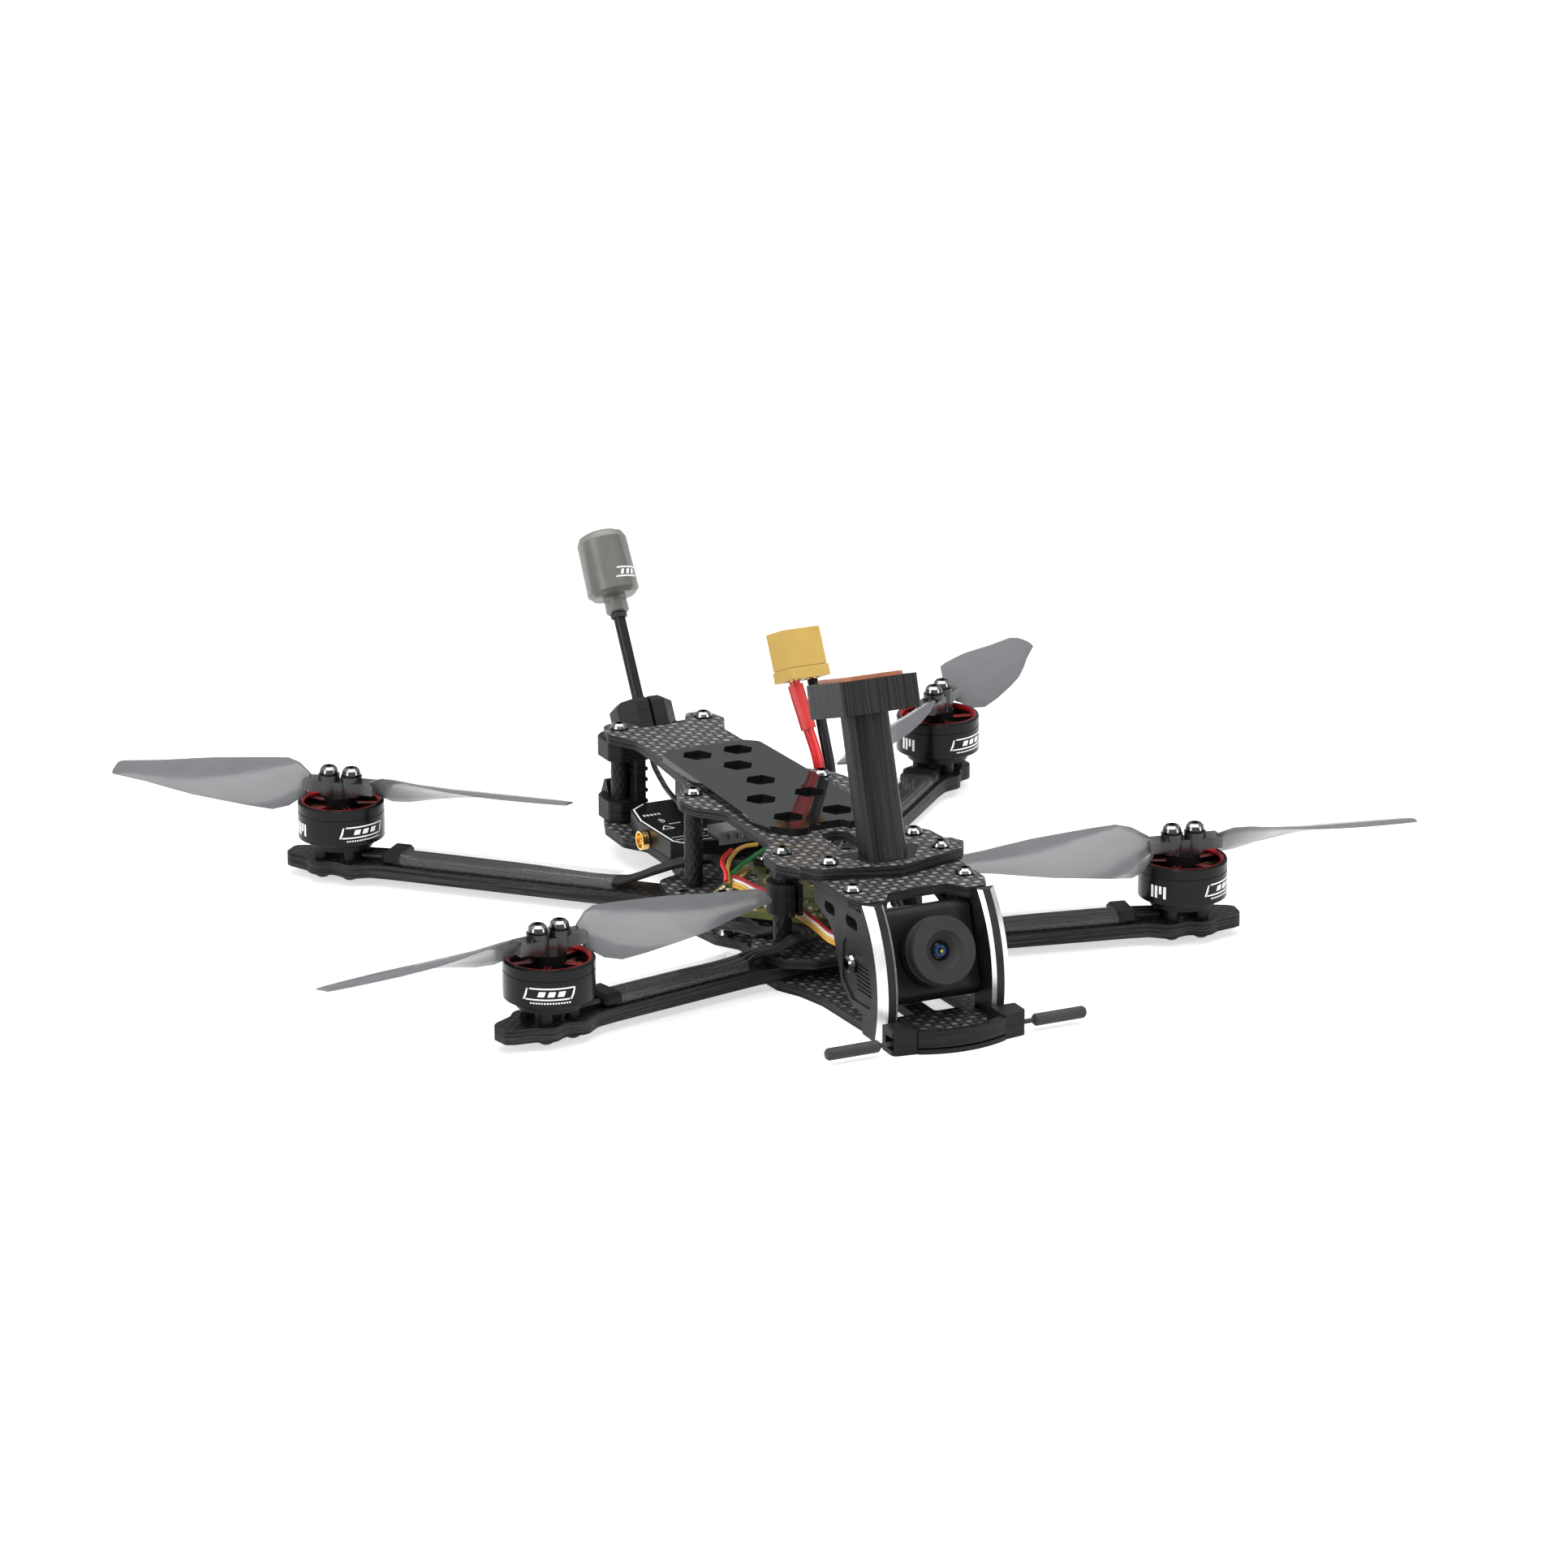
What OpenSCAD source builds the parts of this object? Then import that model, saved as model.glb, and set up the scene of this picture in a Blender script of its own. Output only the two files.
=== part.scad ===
// Four-inch long range quadcopter: carbon plate frame, four outrunner motors with
// two-bladed propellers, tilting camera, mast-mounted position receiver and leaning video antenna.
// Frame: nose towards -Y, +Z up, origin on the underside midway between the four motors.

/* [Layout] */
// Distance between the left and right motor axes
motor_span_x = 141.9; // [140:0.1:146]
// Distance between the front and rear motor axes
motor_span_y = 111.6; // [110:0.1:114]
// Height of the standoffs between the middle and top plates
bay_height = 18; // [17.6:0.1:18.6]

/* [Plates] */
// Thickness of the bottom, middle and top plates
plate_t = 2; // [1.8:0.1:2.1]
// Thickness of the arms
arm_t = 3; // [2.8:0.1:3.1]
// Width of an arm between body and motor
arm_w = 8.6; // [7.8:0.1:9.4]
// Thickness of the battery pad
pad_t = 1.5; // [1:0.1:2]

/* [Motors and propellers] */
// Outer diameter of a motor bell
bell_d = 18.4; // [18:0.1:18.6]
// Height of the bell's underside above the arm
bell_gap = 4.4; // [4.2:0.1:4.8]
// Diameter swept by a propeller
prop_d = 101.6; // [92:0.1:102]
// Distance that a propeller advances in one turn
prop_pitch = 63.5; // [50:0.5:76]
// Turn of the rear right, front right, front left and rear left propellers at rest
prop_angle_rr = -41.1; // [-180:0.1:180]
prop_angle_fr = 8.5; // [-180:0.1:180]
prop_angle_fl = -9.3; // [-180:0.1:180]
prop_angle_rl = 41.3; // [-180:0.1:180]

/* [Camera] */
// Upward tilt of the camera at rest
camera_tilt = 20; // [15:0.5:25]
// Width of the camera housing
camera_w = 19; // [18:0.1:19.4]

/* [Antennas] */
// Backward lean of the video antenna
antenna_lean = 31.5; // [26:0.5:34]
// Backward lean of the receiver mast
mast_lean = 17.5; // [12:0.5:20]

/* [Hidden] */
$fn = 48;
eps = 0.02;

// Heights of the stack, counted up from the underside
z_arm = plate_t;
z_mid = z_arm + arm_t;
z_bay = z_mid + plate_t;
z_top = z_bay + bay_height;
z_deck = z_top + plate_t;

// Motor positions: rear right, front right, front left, rear left (right is -X)
mx = motor_span_x / 2;
my = motor_span_y / 2;
rear_right = [-mx, my];
front_right = [-mx, -my];
front_left = [mx, -my];
rear_left = [mx, my];
motors = [rear_right, front_right, front_left, rear_left];
motor_pcd = 9;

// Frame screws and standoffs, one side only
rear_post = [9.9, 47.5];
mid_post = [14.7, -1];
front_post = [14.7, -44.1];
cage_screw = [12.4, -71.5];
mast_screw = [12.4, -60.8];
tab_screw = [15.8, -19.2];
post_d = 4;
m2_r = 1;
shank_r = 0.95;
head_r = 1.9;
head_h = 1.35;

// Camera cage and camera
pivot_y = -75.2;
pivot_z = 13.3;
cage_in = 10.4;
cage_out = 14.5;
rim_y = -60.1;
rim_z = 8.6;
rim_r = 28.3;
housing_front = 7;
housing_back = 7;

// Flight controller and video transmitter
fc_y = -22.5;
fc_z = 9.1;
fc_t = 1.6;
fc_hole = 25.5 / 2;
vtx_z = 8.4;
vtx_top = 12.2;

// Rotor heights
z_bell = z_mid + bell_gap;
z_seat = z_bell + 9;
z_boss = z_seat + 4.35;
prop_r = prop_d / 2;
prop_screw_pitch = 5;

// Video antenna: a point on its axis, and heights along it
ant_foot = [0, 59.4, z_deck + 1.6];
stem_d = 2.6;
stem_top = 22.5;
cap_low = 23.8;
cap_len = 14.6;
cap_d = 11.4;
neck_d = 5.1;

// Height of the receiver antennas in the front holder
rx_z = 2.2;

// Receiver mast
mast_foot = [0, -59.9, z_deck + 2.5];
mast_len = 28.2;
tray_w = 17;
tray_d = 18.5;
tray_h = 6.9;
tray_wall = 1.2;

// Connector: centre of its underside, the side it leans to, how far, and its own turn
plug_at = [16.44, 11.29, 44.36];
plug_side = 4.6;
plug_lean = 24.2;
plug_turn = 11.4;
plug_w = 10.2;
plug_t = 5.6;
plug_len = 10.6;
lead_d = 2.3;
// Each lead: from the power pads, out beside the plates, up to its pin
red_route = [
  [10, -3.5, 11.9], [10.9, -2.6, 12.3], [11.3, 0.4, 13.2], [12.1, 3, 14.6], [13.2, 4.8, 16.6],
  [14.6, 5.4, 18.8], [15.8, 5.1, 21.2], [16.5, 4.4, 23.8], [16.7, 4, 26.4], [16.4, 4.2, 29],
  [15.9, 5.1, 32], [15.3, 6.3, 35], [14.9, 7.6, 38], [14.45, 9.1, 41.3], [14.05, 10.55, 44.5]
];
black_route = [
  [12, -8, 11.9], [14.6, -6.2, 12.3], [17.4, -3.6, 13.2], [18.6, -0.8, 14.8], [18.9, 1.2, 17],
  [18.9, 2.4, 19.6], [18.9, 3, 22.4], [19, 3.2, 25], [19, 3.7, 27.6], [18.8, 4.6, 30.4],
  [18.7, 5.8, 33.4], [18.7, 7.2, 36.4], [18.75, 8.8, 39.4], [18.8, 10.3, 42], [18.84, 11.7, 43.9]
];
shrink_route = [[15.35, 6.2, 35], [14.95, 7.5, 38], [14.5, 8.95, 41], [14.12, 10.2, 43.8]];

// ---- helpers ----
function unit(v) = v / norm(v);
function mirrored(p) =
  concat(p, [for (i = [len(p) - 1:-1:0]) if (p[i][0] != 0) [-p[i][0], p[i][1], p[i][2]]]);

// Rounds one corner b of a polygon whose neighbours are a and c
function corner(a, b, c, r, n) =
  r == 0 ? [b] :
  let (u = unit(a - b), v = unit(c - b), half = acos(u * v) / 2)
  let (p = b + u * r / tan(half), q = b + v * r / tan(half), o = b + unit(u + v) * r / sin(half))
  let (a0 = atan2(p[1] - o[1], p[0] - o[0]), a1 = atan2(q[1] - o[1], q[0] - o[0]))
  let (turn = (a1 - a0 + 540) % 360 - 180)
  [for (i = [0:n]) o + r * [cos(a0 + turn * i / n), sin(a0 + turn * i / n)]];

// Outline from [x, y, corner radius] points
function outline(p, n = 5) = [
  for (i = [0:len(p) - 1])
    let (a = p[(i + len(p) - 1) % len(p)], b = p[i], c = p[(i + 1) % len(p)])
    each corner([a[0], a[1]], [b[0], b[1]], [c[0], c[1]], b[2], n)
];

// Smooth path through hand-set points, k steps between neighbours
function spline(p, k) = concat([
  for (i = [0:len(p) - 2])
    let (a = p[max(i - 1, 0)], b = p[i], c = p[i + 1], d = p[min(i + 2, len(p) - 1)])
    for (s = [0:k - 1])
      let (t = s / k)
      0.5 * (2 * b + (c - a) * t + (2 * a - 5 * b + 4 * c - d) * t * t + (3 * b - a - 3 * c + d) * t * t * t)
], [p[len(p) - 1]]);

function tangents(p) = [
  for (i = [0:len(p) - 1])
    unit(p[min(i + 1, len(p) - 1)] - p[max(i - 1, 0)])
];

function normals(t, i = 0, acc = []) =
  i == len(t) ? acc :
  let (prev = i == 0 ? unit(cross(t[0], abs(t[0][2]) < 0.9 ? [0, 0, 1] : [1, 0, 0])) : acc[i - 1])
  normals(t, i + 1, concat(acc, [unit(prev - (prev * t[i]) * t[i])]));

// Closed skin over rings of s points each
function skin(rings, s) = concat(
  [[for (j = [0:s - 1]) j]],
  [for (i = [0:rings - 2]) for (j = [0:s - 1])
    each [
      [i * s + j, (i + 1) * s + j, (i + 1) * s + (j + 1) % s],
      [i * s + j, (i + 1) * s + (j + 1) % s, i * s + (j + 1) % s]
    ]],
  [[for (j = [s - 1:-1:0]) (rings - 1) * s + j]]
);

module tube(path, d, sides = 8) {
  t = tangents(path);
  n = normals(t);
  points = [
    for (i = [0:len(path) - 1])
      let (b = cross(t[i], n[i]))
      for (j = [0:sides - 1])
        path[i] + d / 2 * (cos(360 * j / sides) * n[i] + sin(360 * j / sides) * b)
  ];
  polyhedron(points, skin(len(path), sides));
}

module both() {
  children();
  mirror([1, 0, 0]) children();
}

module at_motor(i) translate([motors[i][0], motors[i][1], 0]) children();

// Button head screw with a hex socket, its head's underside at z = 0
module button_screw(len, r = head_r, h = head_h) {
  difference() {
    union() {
      rotate_extrude() polygon([[0, 0], [r, 0], [r, h * 0.3], [r * 0.86, h * 0.72], [r * 0.6, h], [0, h]]);
      translate([0, 0, -len]) cylinder(r = shank_r, h = len + eps);
    }
    translate([0, 0, h * 0.35]) cylinder(r = r * 0.4, h = h, $fn = 6);
  }
}

// Countersunk screw, flush with z = 0, reaching up
module flush_screw(len) {
  difference() {
    union() {
      cylinder(r1 = 1.9, r2 = shank_r, h = 1.1);
      cylinder(r = shank_r, h = len);
    }
    translate([0, 0, -eps]) cylinder(r = 0.7, h = 0.8, $fn = 6);
  }
}

module flush_seat() {
  translate([0, 0, -eps]) cylinder(r1 = 2.0, r2 = m2_r, h = 1.2);
  translate([0, 0, -1]) cylinder(r = m2_r, h = 12);
}

// Elongated hexagon with points along X
module hex_hole(w = 6.7, d = 6) {
  polygon([[-w / 2, 0], [-w / 4, -d / 2], [w / 4, -d / 2], [w / 2, 0], [w / 4, d / 2], [-w / 4, d / 2]]);
}

pad_holes = [
  [-4.7, 18.6], [4.7, 18.6], [0, 8.6], [0, -2.7], [-5.5, -14.5], [5.5, -14.5], [-5.5, -27.6], [5.5, -27.6]
];

// ---- plates ----
bottom_half = [
  [0, 12, 0], [9, 12, 3], [13, 6.5, 3], [19.5, 2.5, 3], [20.3, -6, 3], [18.2, -19, 2.5], [15, -24, 3],
  [15, -38, 3], [19, -43, 3], [18.6, -49.5, 2.5], [16, -55, 4], [14.4, -62, 6], [13.6, -80, 0],
  [13.6, -90, 2.5], [9.5, -93.2, 2.5], [0, -93.2, 0]
];

middle_half = [
  [0, 45, 0], [5, 45, 1.5], [7.6, 51.4, 1.5], [11.8, 52.4, 3], [15.2, 43.5, 4], [15.4, 33.5, 3],
  [12.2, 28.5, 3], [12.2, 8.5, 4], [20, 5, 3], [21.8, -3, 4], [18.5, -10.5, 4], [13.2, -15, 4],
  [13.2, -33, 4], [19, -38, 4], [20.5, -46, 4], [17.5, -51.5, 3], [12, -54.5, 3], [0, -54.5, 0]
];

top_half = [
  [0, 46, 0], [4.8, 46, 1], [7.6, 51.6, 1.2], [12.2, 51.6, 3], [13.8, 45, 3], [10.4, 37.5, 4],
  [10.8, 25, 0], [12.3, 6.5, 3], [17.8, 0.8, 3.2], [19.4, -4.5, 3.5], [18.2, -9.5, 3], [13.9, -14.5, 4],
  [13.9, -36.5, 4], [18.7, -43.5, 3.5], [19.2, -50.5, 3], [15.2, -56.5, 3], [15.1, -75, 1.5],
  [13.2, -79.4, 1.2], [8.8, -79.4, 1], [6.6, -75.4, 2], [0, -75, 0]
];

module bottom_plate() {
  color("#26272a") difference() {
    linear_extrude(plate_t) polygon(outline(mirrored(bottom_half)));
    both() {
      for (p = [mid_post, front_post]) translate([p[0], p[1], 0]) flush_seat();
      translate([tab_screw[0], tab_screw[1], -1]) cylinder(r = m2_r, h = 4);
      translate([12.4, -83.5, 0]) flush_seat();
      // notch that takes the foot of a side plate
      translate([cage_in - 0.15, -87.7, -1]) cube([6, 7.7, 4]);
      // window under the camera
      translate([0, 0, -1]) linear_extrude(4)
        polygon(outline([[2.2, -63, 0.8], [8.6, -63, 1.5], [9.2, -79, 1.5], [2.2, -79, 0.8]]));
      // cable slot
      translate([0, 0, -1]) linear_extrude(4)
        polygon(outline([[5.2, -10, 1], [9.6, -10, 1], [9.6, -34, 1], [5.2, -34, 1]]));
    }
  }
}

module middle_plate() {
  color("#26272a") translate([0, 0, z_mid]) difference() {
    linear_extrude(plate_t) polygon(outline(mirrored(middle_half)));
    both() {
      for (p = [rear_post, mid_post, front_post]) translate([p[0], p[1], -1]) cylinder(r = m2_r, h = 4);
      translate([10, 36, -1]) cylinder(r = m2_r, h = 4);
      translate([10, 16, -1]) cylinder(r = m2_r, h = 4);
      translate([18, -3.2, -1]) cylinder(r = m2_r, h = 4);
    }
    for (k = [0:3]) translate([0, fc_y, -1]) rotate(90 * k)
      translate([fc_hole * sqrt(2), 0, 0]) cylinder(r = 1.6, h = 4);
    translate([0, fc_y, -1]) linear_extrude(4) rotate(45) square(13, center = true);
    translate([0, 26, -1]) linear_extrude(4)
      polygon(outline([[-6, -6, 1.5], [6, -6, 1.5], [6, 6, 1.5], [-6, 6, 1.5]]));
  }
}

module top_plate() {
  color("#3a3b3e") translate([0, 0, z_top]) difference() {
    linear_extrude(plate_t) polygon(outline(mirrored(top_half)));
    both() for (p = [rear_post, mid_post, front_post, cage_screw, mast_screw])
      translate([p[0], p[1], -1]) cylinder(r = m2_r, h = 4);
    for (p = pad_holes) translate([p[0], p[1], -1]) linear_extrude(4) hex_hole();
    // arched slot behind the mast
    translate([0, 0, -1]) linear_extrude(4)
      polygon(outline([[-3, -48, 0.6], [3, -48, 0.6], [3, -36, 2.6], [-3, -36, 2.6]]));
  }
}

// Arm along +X from the motor's axis at the origin towards the body, length to the root screw
module arm(length) {
  tip = [
    [-12, -2, 0.8], [-10.6, -3, 1.5], [-6.4, -4.4, 2], [-3.8, -7, 3], [0.2, -5.2, 3], [4.4, -6.9, 3],
    [8.3, -4.6, 2.5], [12.5, -arm_w / 2, 3]
  ];
  root = [
    [length - 9, -arm_w / 2, 3], [length - 2, -5.6, 3], [length + 4, -5.6, 3], [length + 8.5, -1.6, 1.5]
  ];
  side = concat(tip, root);
  far = [for (i = [len(side) - 1:-1:0]) [side[i][0], -side[i][1], side[i][2]]];
  difference() {
    linear_extrude(arm_t) polygon(outline(concat(side, far)));
    for (k = [0:3]) rotate(45 + 90 * k) translate([motor_pcd / 2, 0, -1]) cylinder(r = m2_r, h = 6);
    translate([0, 0, -1]) cylinder(r = 2.2, h = 6);
    translate([length, 0, -1]) cylinder(r = m2_r, h = 6);
  }
}

// Angle and length of the run from motor i to the frame screw p
function arm_run(i, p) =
  let (d = [sign(motors[i][0]) * p[0], p[1]] - motors[i])
  [atan2(d[1], d[0]), norm(d)];

// Frame screw that holds the root of motor i's arm
function arm_post(i) = i % 3 == 0 ? mid_post : front_post;

module placed_arm(i) {
  run = arm_run(i, arm_post(i));
  color("#2c2d30") translate([0, 0, z_arm]) at_motor(i) rotate(run[0]) arm(run[1]);
}

module arm_rear_right() placed_arm(0);
module arm_front_right() placed_arm(1);
module arm_front_left() placed_arm(2);
module arm_rear_left() placed_arm(3);

module standoffs() {
  color("#202124") both() for (p = [rear_post, mid_post, front_post])
    translate([p[0], p[1], z_bay]) difference() {
      cylinder(d = post_d, h = bay_height);
      translate([0, 0, -1]) cylinder(r = m2_r, h = bay_height + 2);
    }
}

module screws() {
  color("#c9cbd0") {
    both() {
      for (p = [rear_post, mid_post, front_post, cage_screw])
        translate([p[0], p[1], z_deck]) button_screw(5.5);
      translate([mast_screw[0], mast_screw[1], z_deck + 2.5]) button_screw(8);
      for (p = [mid_post, front_post]) translate([p[0], p[1], 0]) flush_screw(11.5);
      translate([tab_screw[0], tab_screw[1], plate_t]) button_screw(1.9);
      translate([12.4, -83.5, 0]) flush_screw(4.5);
      translate([rear_post[0], rear_post[1], z_mid]) mirror([0, 0, 1]) button_screw(6);
      translate([10, 36, z_mid]) mirror([0, 0, 1]) button_screw(5);
      translate([10, 16, z_mid]) mirror([0, 0, 1]) button_screw(5);
    }
    // motor screws, heads under the arms
    for (i = [0:3]) for (k = [0:3]) at_motor(i) rotate(arm_run(i, arm_post(i))[0] + 45 + 90 * k)
      translate([motor_pcd / 2, 0, z_arm]) mirror([0, 0, 1]) button_screw(4.3, 1.75, 1.2);
    // flight controller screws
    for (k = [0:3]) translate([0, fc_y, fc_z + fc_t + 1]) rotate(90 * k)
      translate([fc_hole * sqrt(2), 0, 0]) button_screw(5.5, 1.7, 1.1);
  }
}

pad_half = [
  [0, 24.3, 0], [9, 24.3, 2], [11.4, 22, 1.5], [12.8, -24, 3], [11.6, -31.5, 1], [7.6, -35.6, 0.6],
  [4.6, -35.6, 0.6], [3.4, -33.6, 0.6], [0, -33.6, 0]
];

module battery_pad() {
  color("#3c3d3f") translate([0, 0, z_deck]) difference() {
    linear_extrude(pad_t) polygon(outline(mirrored(pad_half)));
    for (p = pad_holes) translate([p[0], p[1], -1]) linear_extrude(4) hex_hole();
  }
}

// ---- video antenna and its mount ----
module along_antenna() translate(ant_foot) rotate([-antenna_lean, 0, 0]) children();

module rear_antenna_mount() {
  color("#1c1c1e") difference() {
    union() {
      both() {
        // sleeve round the standoff, open outwards between its two rings
        translate([0, 0, z_bay + 0.05]) linear_extrude(bay_height - 0.1)
          polygon(outline([[5.6, 43, 0.5], [8.2, 43, 0.5], [8.2, 53.4, 0.5], [5.6, 53.4, 0.5]]));
        for (ring = [[z_bay + 0.05, 4.6], [z_top - 4.2, 4.15]])
          translate([0, 0, ring[0]]) linear_extrude(ring[1]) polygon(outline([
            [5.6, 43, 0.5], [11.5, 42.8, 1.5], [13.6, 45, 1.5], [13.6, 51, 1.5],
            [11.5, 53.4, 1.5], [5.6, 53.4, 0.5]
          ]));
        // slanted shoulder above the lower ring
        translate([5.6, 0, z_bay + 4.6]) rotate([90, 0, 90]) linear_extrude(6.2)
          polygon([[49.4, 0], [53.3, 0], [51.6, 3.2], [50.6, 3.2]]);
        // ribs on the inner wall
        for (k = [0:6]) translate([5.2, 43.2, z_bay + 1.6 + 2.4 * k]) cube([0.5, 4.6, 0.7]);
      }
      // cross beam behind the plate
      translate([-6.4, 51.2, z_top - 7]) cube([12.8, 5.6, 6.9]);
      // clamp, an eight-sided block along the antenna
      along_antenna() {
        translate([0, 0, -8.6]) linear_extrude(7.2) clamp_outline();
        translate([0, 0, -1.42]) linear_extrude(1.2, scale = 0.78) clamp_outline();
      }
    }
    both() translate([rear_post[0], rear_post[1], z_bay - 1]) cylinder(d = post_d + 0.2, h = bay_height + 2);
    along_antenna() {
      translate([0, 0, -14]) cylinder(d = stem_d + 0.1, h = 16);
      translate([-0.3, -7, -10]) cube([0.6, 7, 11]);
    }
  }
}

module clamp_outline() {
  polygon([
    [-6.5, -2.4], [-3.4, -5.8], [3.4, -5.8], [6.5, -2.4], [6.5, 2.2], [3.4, 4.9], [-3.4, 4.9], [-6.5, 2.2]
  ]);
}

module antenna_stem() {
  color("#151517") along_antenna() translate([0, 0, -9.5]) cylinder(d = stem_d, h = 9.5 + stem_top);
}

module antenna_cap() {
  color("#8d8f8c", 0.7) along_antenna() rotate_extrude() polygon([
    [stem_d / 2 + 0.05, 20.4], [neck_d / 2 - 0.2, 20.2], [neck_d / 2, 20.5], [neck_d / 2 - 0.1, cap_low],
    [cap_d / 2 - 1, cap_low], [cap_d / 2, cap_low + 1], [cap_d / 2 - 0.2, cap_low + cap_len - 2],
    [cap_d / 2 - 0.9, cap_low + cap_len - 0.6], [cap_d / 2 - 2.2, cap_low + cap_len], [0, cap_low + cap_len],
    [0, cap_low + cap_len - 0.9], [cap_d / 2 - 1.6, cap_low + cap_len - 1.4], [cap_d / 2 - 1, cap_low + 1.8],
    [cap_d / 2 - 1.8, cap_low + 1], [stem_d / 2 + 0.05, cap_low + 0.6]
  ]);
}

// Three-lobe radiator on the end of the stem
module antenna_element() {
  color("#caa24a") along_antenna() {
    translate([0, 0, stem_top + 0.05]) cylinder(d = 1.6, h = cap_low + 10.2 - stem_top);
    for (z = [4.2, 8.6]) translate([0, 0, cap_low + z]) difference() {
      cylinder(r = 3.9, h = 0.5);
      for (k = [0:2]) rotate(120 * k) translate([2.3, 0, -1]) cylinder(r = 1.15, h = 3);
    }
  }
}

coax_route = [
  [0, 54.07, 19.9], [0, 52.9, 17.95], [0, 51.5, 16.1], [0, 49.6, 14.9], [-0.1, 47.2, 13.9],
  [-0.5, 44, 13.15], [-1.2, 40, 13.05], [-1.6, 37.5, 13.05], [-2, 33, 13.05]
];

module antenna_coax() {
  color("#18181a") tube(coax_route, 1.2);
}

// ---- camera cage ----
// Outline of a side plate in Y and Z
cage_side = [
  [-90, 0.25, 0], [-80.2, 0.25, 0.4], [-80.2, 4.7, 0.4], [-76, 4.7, 1], [-70.9, 7.8, 2], [-69, 12.4, 3],
  [-67.4, 16.6, 3], [-64.6, 19.2, 3], [-58.6, 21.2, 0.8], [-58.6, z_top - 0.05, 0.4],
  [-79.6, z_top - 0.05, 0], [-79.6, z_deck - 0.2, 0.3], [-90, z_deck - 0.2, 0]
];

module side_plate() {
  t = cage_out - cage_in;
  difference() {
    intersection() {
      translate([cage_in, 0, 0]) rotate([90, 0, 90]) linear_extrude(t) polygon(outline(cage_side));
      // rim of a disc, so that both front edges carry a bevel
      translate([cage_in, rim_y, rim_z]) rotate([0, 90, 0]) rotate_extrude($fn = 96) polygon([
        [0, -eps], [rim_r - 0.7, -eps], [rim_r, 0.7], [rim_r, t - 1.7], [rim_r - 1.4, t + eps], [0, t + eps]
      ]);
    }
    // two polygon windows in the upper strip
    for (w = [[-75.2, 5.2], [-65.4, 4.6]]) translate([cage_in - 1, w[0], 21.8]) rotate([90, 0, 90])
      linear_extrude(t + 2) cage_window(w[1] / 2);
    // camera screw
    translate([cage_in - 1, pivot_y, pivot_z]) rotate([0, 90, 0]) cylinder(r = m2_r + 0.02, h = t + 2);
    // sunk panel round the camera screw, and its grooves
    translate([cage_out - 0.35, 0, 0]) rotate([90, 0, 90]) linear_extrude(2)
      polygon(outline([[-84.6, 8, 1], [-82.6, 17.4, 2], [-79, 19.2, 1], [-71.5, 17.6, 2], [-71.3, 9.2, 1.5],
        [-75.6, 6, 1], [-83.4, 6.2, 1]]));
    for (k = [0:6]) translate([cage_out - 0.65, -84 + 0.3 * k, 8.6 + 0.85 * k]) cube([2, 6.4, 0.4]);
    // screw holes down from the top and up from the foot
    for (p = [cage_screw, mast_screw]) translate([p[0], p[1], z_top - 4.5]) cylinder(r = m2_r, h = 6);
    translate([12.4, -83.5, -1]) cylinder(r = 2.05, h = 2.3);
    translate([12.4, -83.5, 0]) cylinder(r = m2_r, h = 5);
  }
}

// Six-sided window in the upper strip, h being half its length
module cage_window(h) {
  polygon([[-h, -1.1], [h - 1, -1.1], [h, -0.3], [h - 0.4, 1.2], [1 - h, 1.2], [-h, 0.5]]);
}

module side_plate_left() color("#1b1b1d") side_plate();
module side_plate_right() color("#1b1b1d") mirror([1, 0, 0]) side_plate();

// Camera parts are drawn with their axis along -Y through the pivot, then tilted up
module at_camera() translate([0, pivot_y, pivot_z]) rotate([-camera_tilt, 0, 0]) children();

module camera_housing() {
  color("#1e1e20") at_camera() difference() {
    union() {
      translate([-camera_w / 2, 0, 0]) rotate([90, 0, 90]) linear_extrude(camera_w)
        polygon(outline([
          [-housing_front, -9.5, 2], [housing_back, -9.5, 2], [housing_back, 9.5, 2], [-housing_front, 9.5, 2]
        ]));
      // boss round the lens thread
      translate([0, -housing_front + eps, 0]) rotate([90, 0, 0]) cylinder(r = 7.2, h = 1.2);
    }
    translate([0, -housing_front - 3, 0]) rotate([-90, 0, 0]) cylinder(r = 5.6, h = 7);
    both() translate([camera_w / 2 - 4, 0, 0]) rotate([0, 90, 0]) cylinder(r = m2_r, h = 6);
    // plug recess in the back
    translate([-4, housing_back - 2, -4]) cube([8, 4, 3]);
  }
}

// Lens: threaded barrel, knurled focus ring and flat front flange
module lens_barrel() {
  color("#232325") at_camera() translate([0, -housing_front, 0]) rotate([90, 0, 0]) rotate_extrude() polygon([
    [4.2, -3.8], [5.55, -3.8], [5.55, 1.3], [6.6, 1.35], [6.9, 1.7], [6.9, 2.6], [6.5, 2.8],
    [6.5, 4.6], [6.8, 4.8], [6.8, 5.8], [6.65, 5.9], [3.95, 5.9], [3.9, 5.7], [2.1, 3.9], [2.1, 1], [4.2, 0.6]
  ]);
}

module lens_glass() {
  color("#3d4658", 0.6) at_camera() translate([0, -housing_front, 0]) rotate([90, 0, 0]) rotate_extrude()
    polygon([[0, 1.6], [2.05, 1.6], [2.05, 3.3], [1.7, 3.7], [1.2, 3.95], [0.6, 4.1], [0, 4.15]]);
}

module camera_screws() {
  color("#c9cbd0") both() translate([cage_out - 0.3, pivot_y, pivot_z]) rotate([0, 90, 0])
    button_screw(7, 2, 1.4);
}

// ---- receiver mast ----
gps_half = [
  [0, -57.4, 0], [3.6, -57.4, 0], [9.6, -56.9, 0.8], [16.6, -55.9, 1.6], [18.4, -59.6, 1.5], [16, -63.4, 2],
  [0, -68.2, 0]
];

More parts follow.
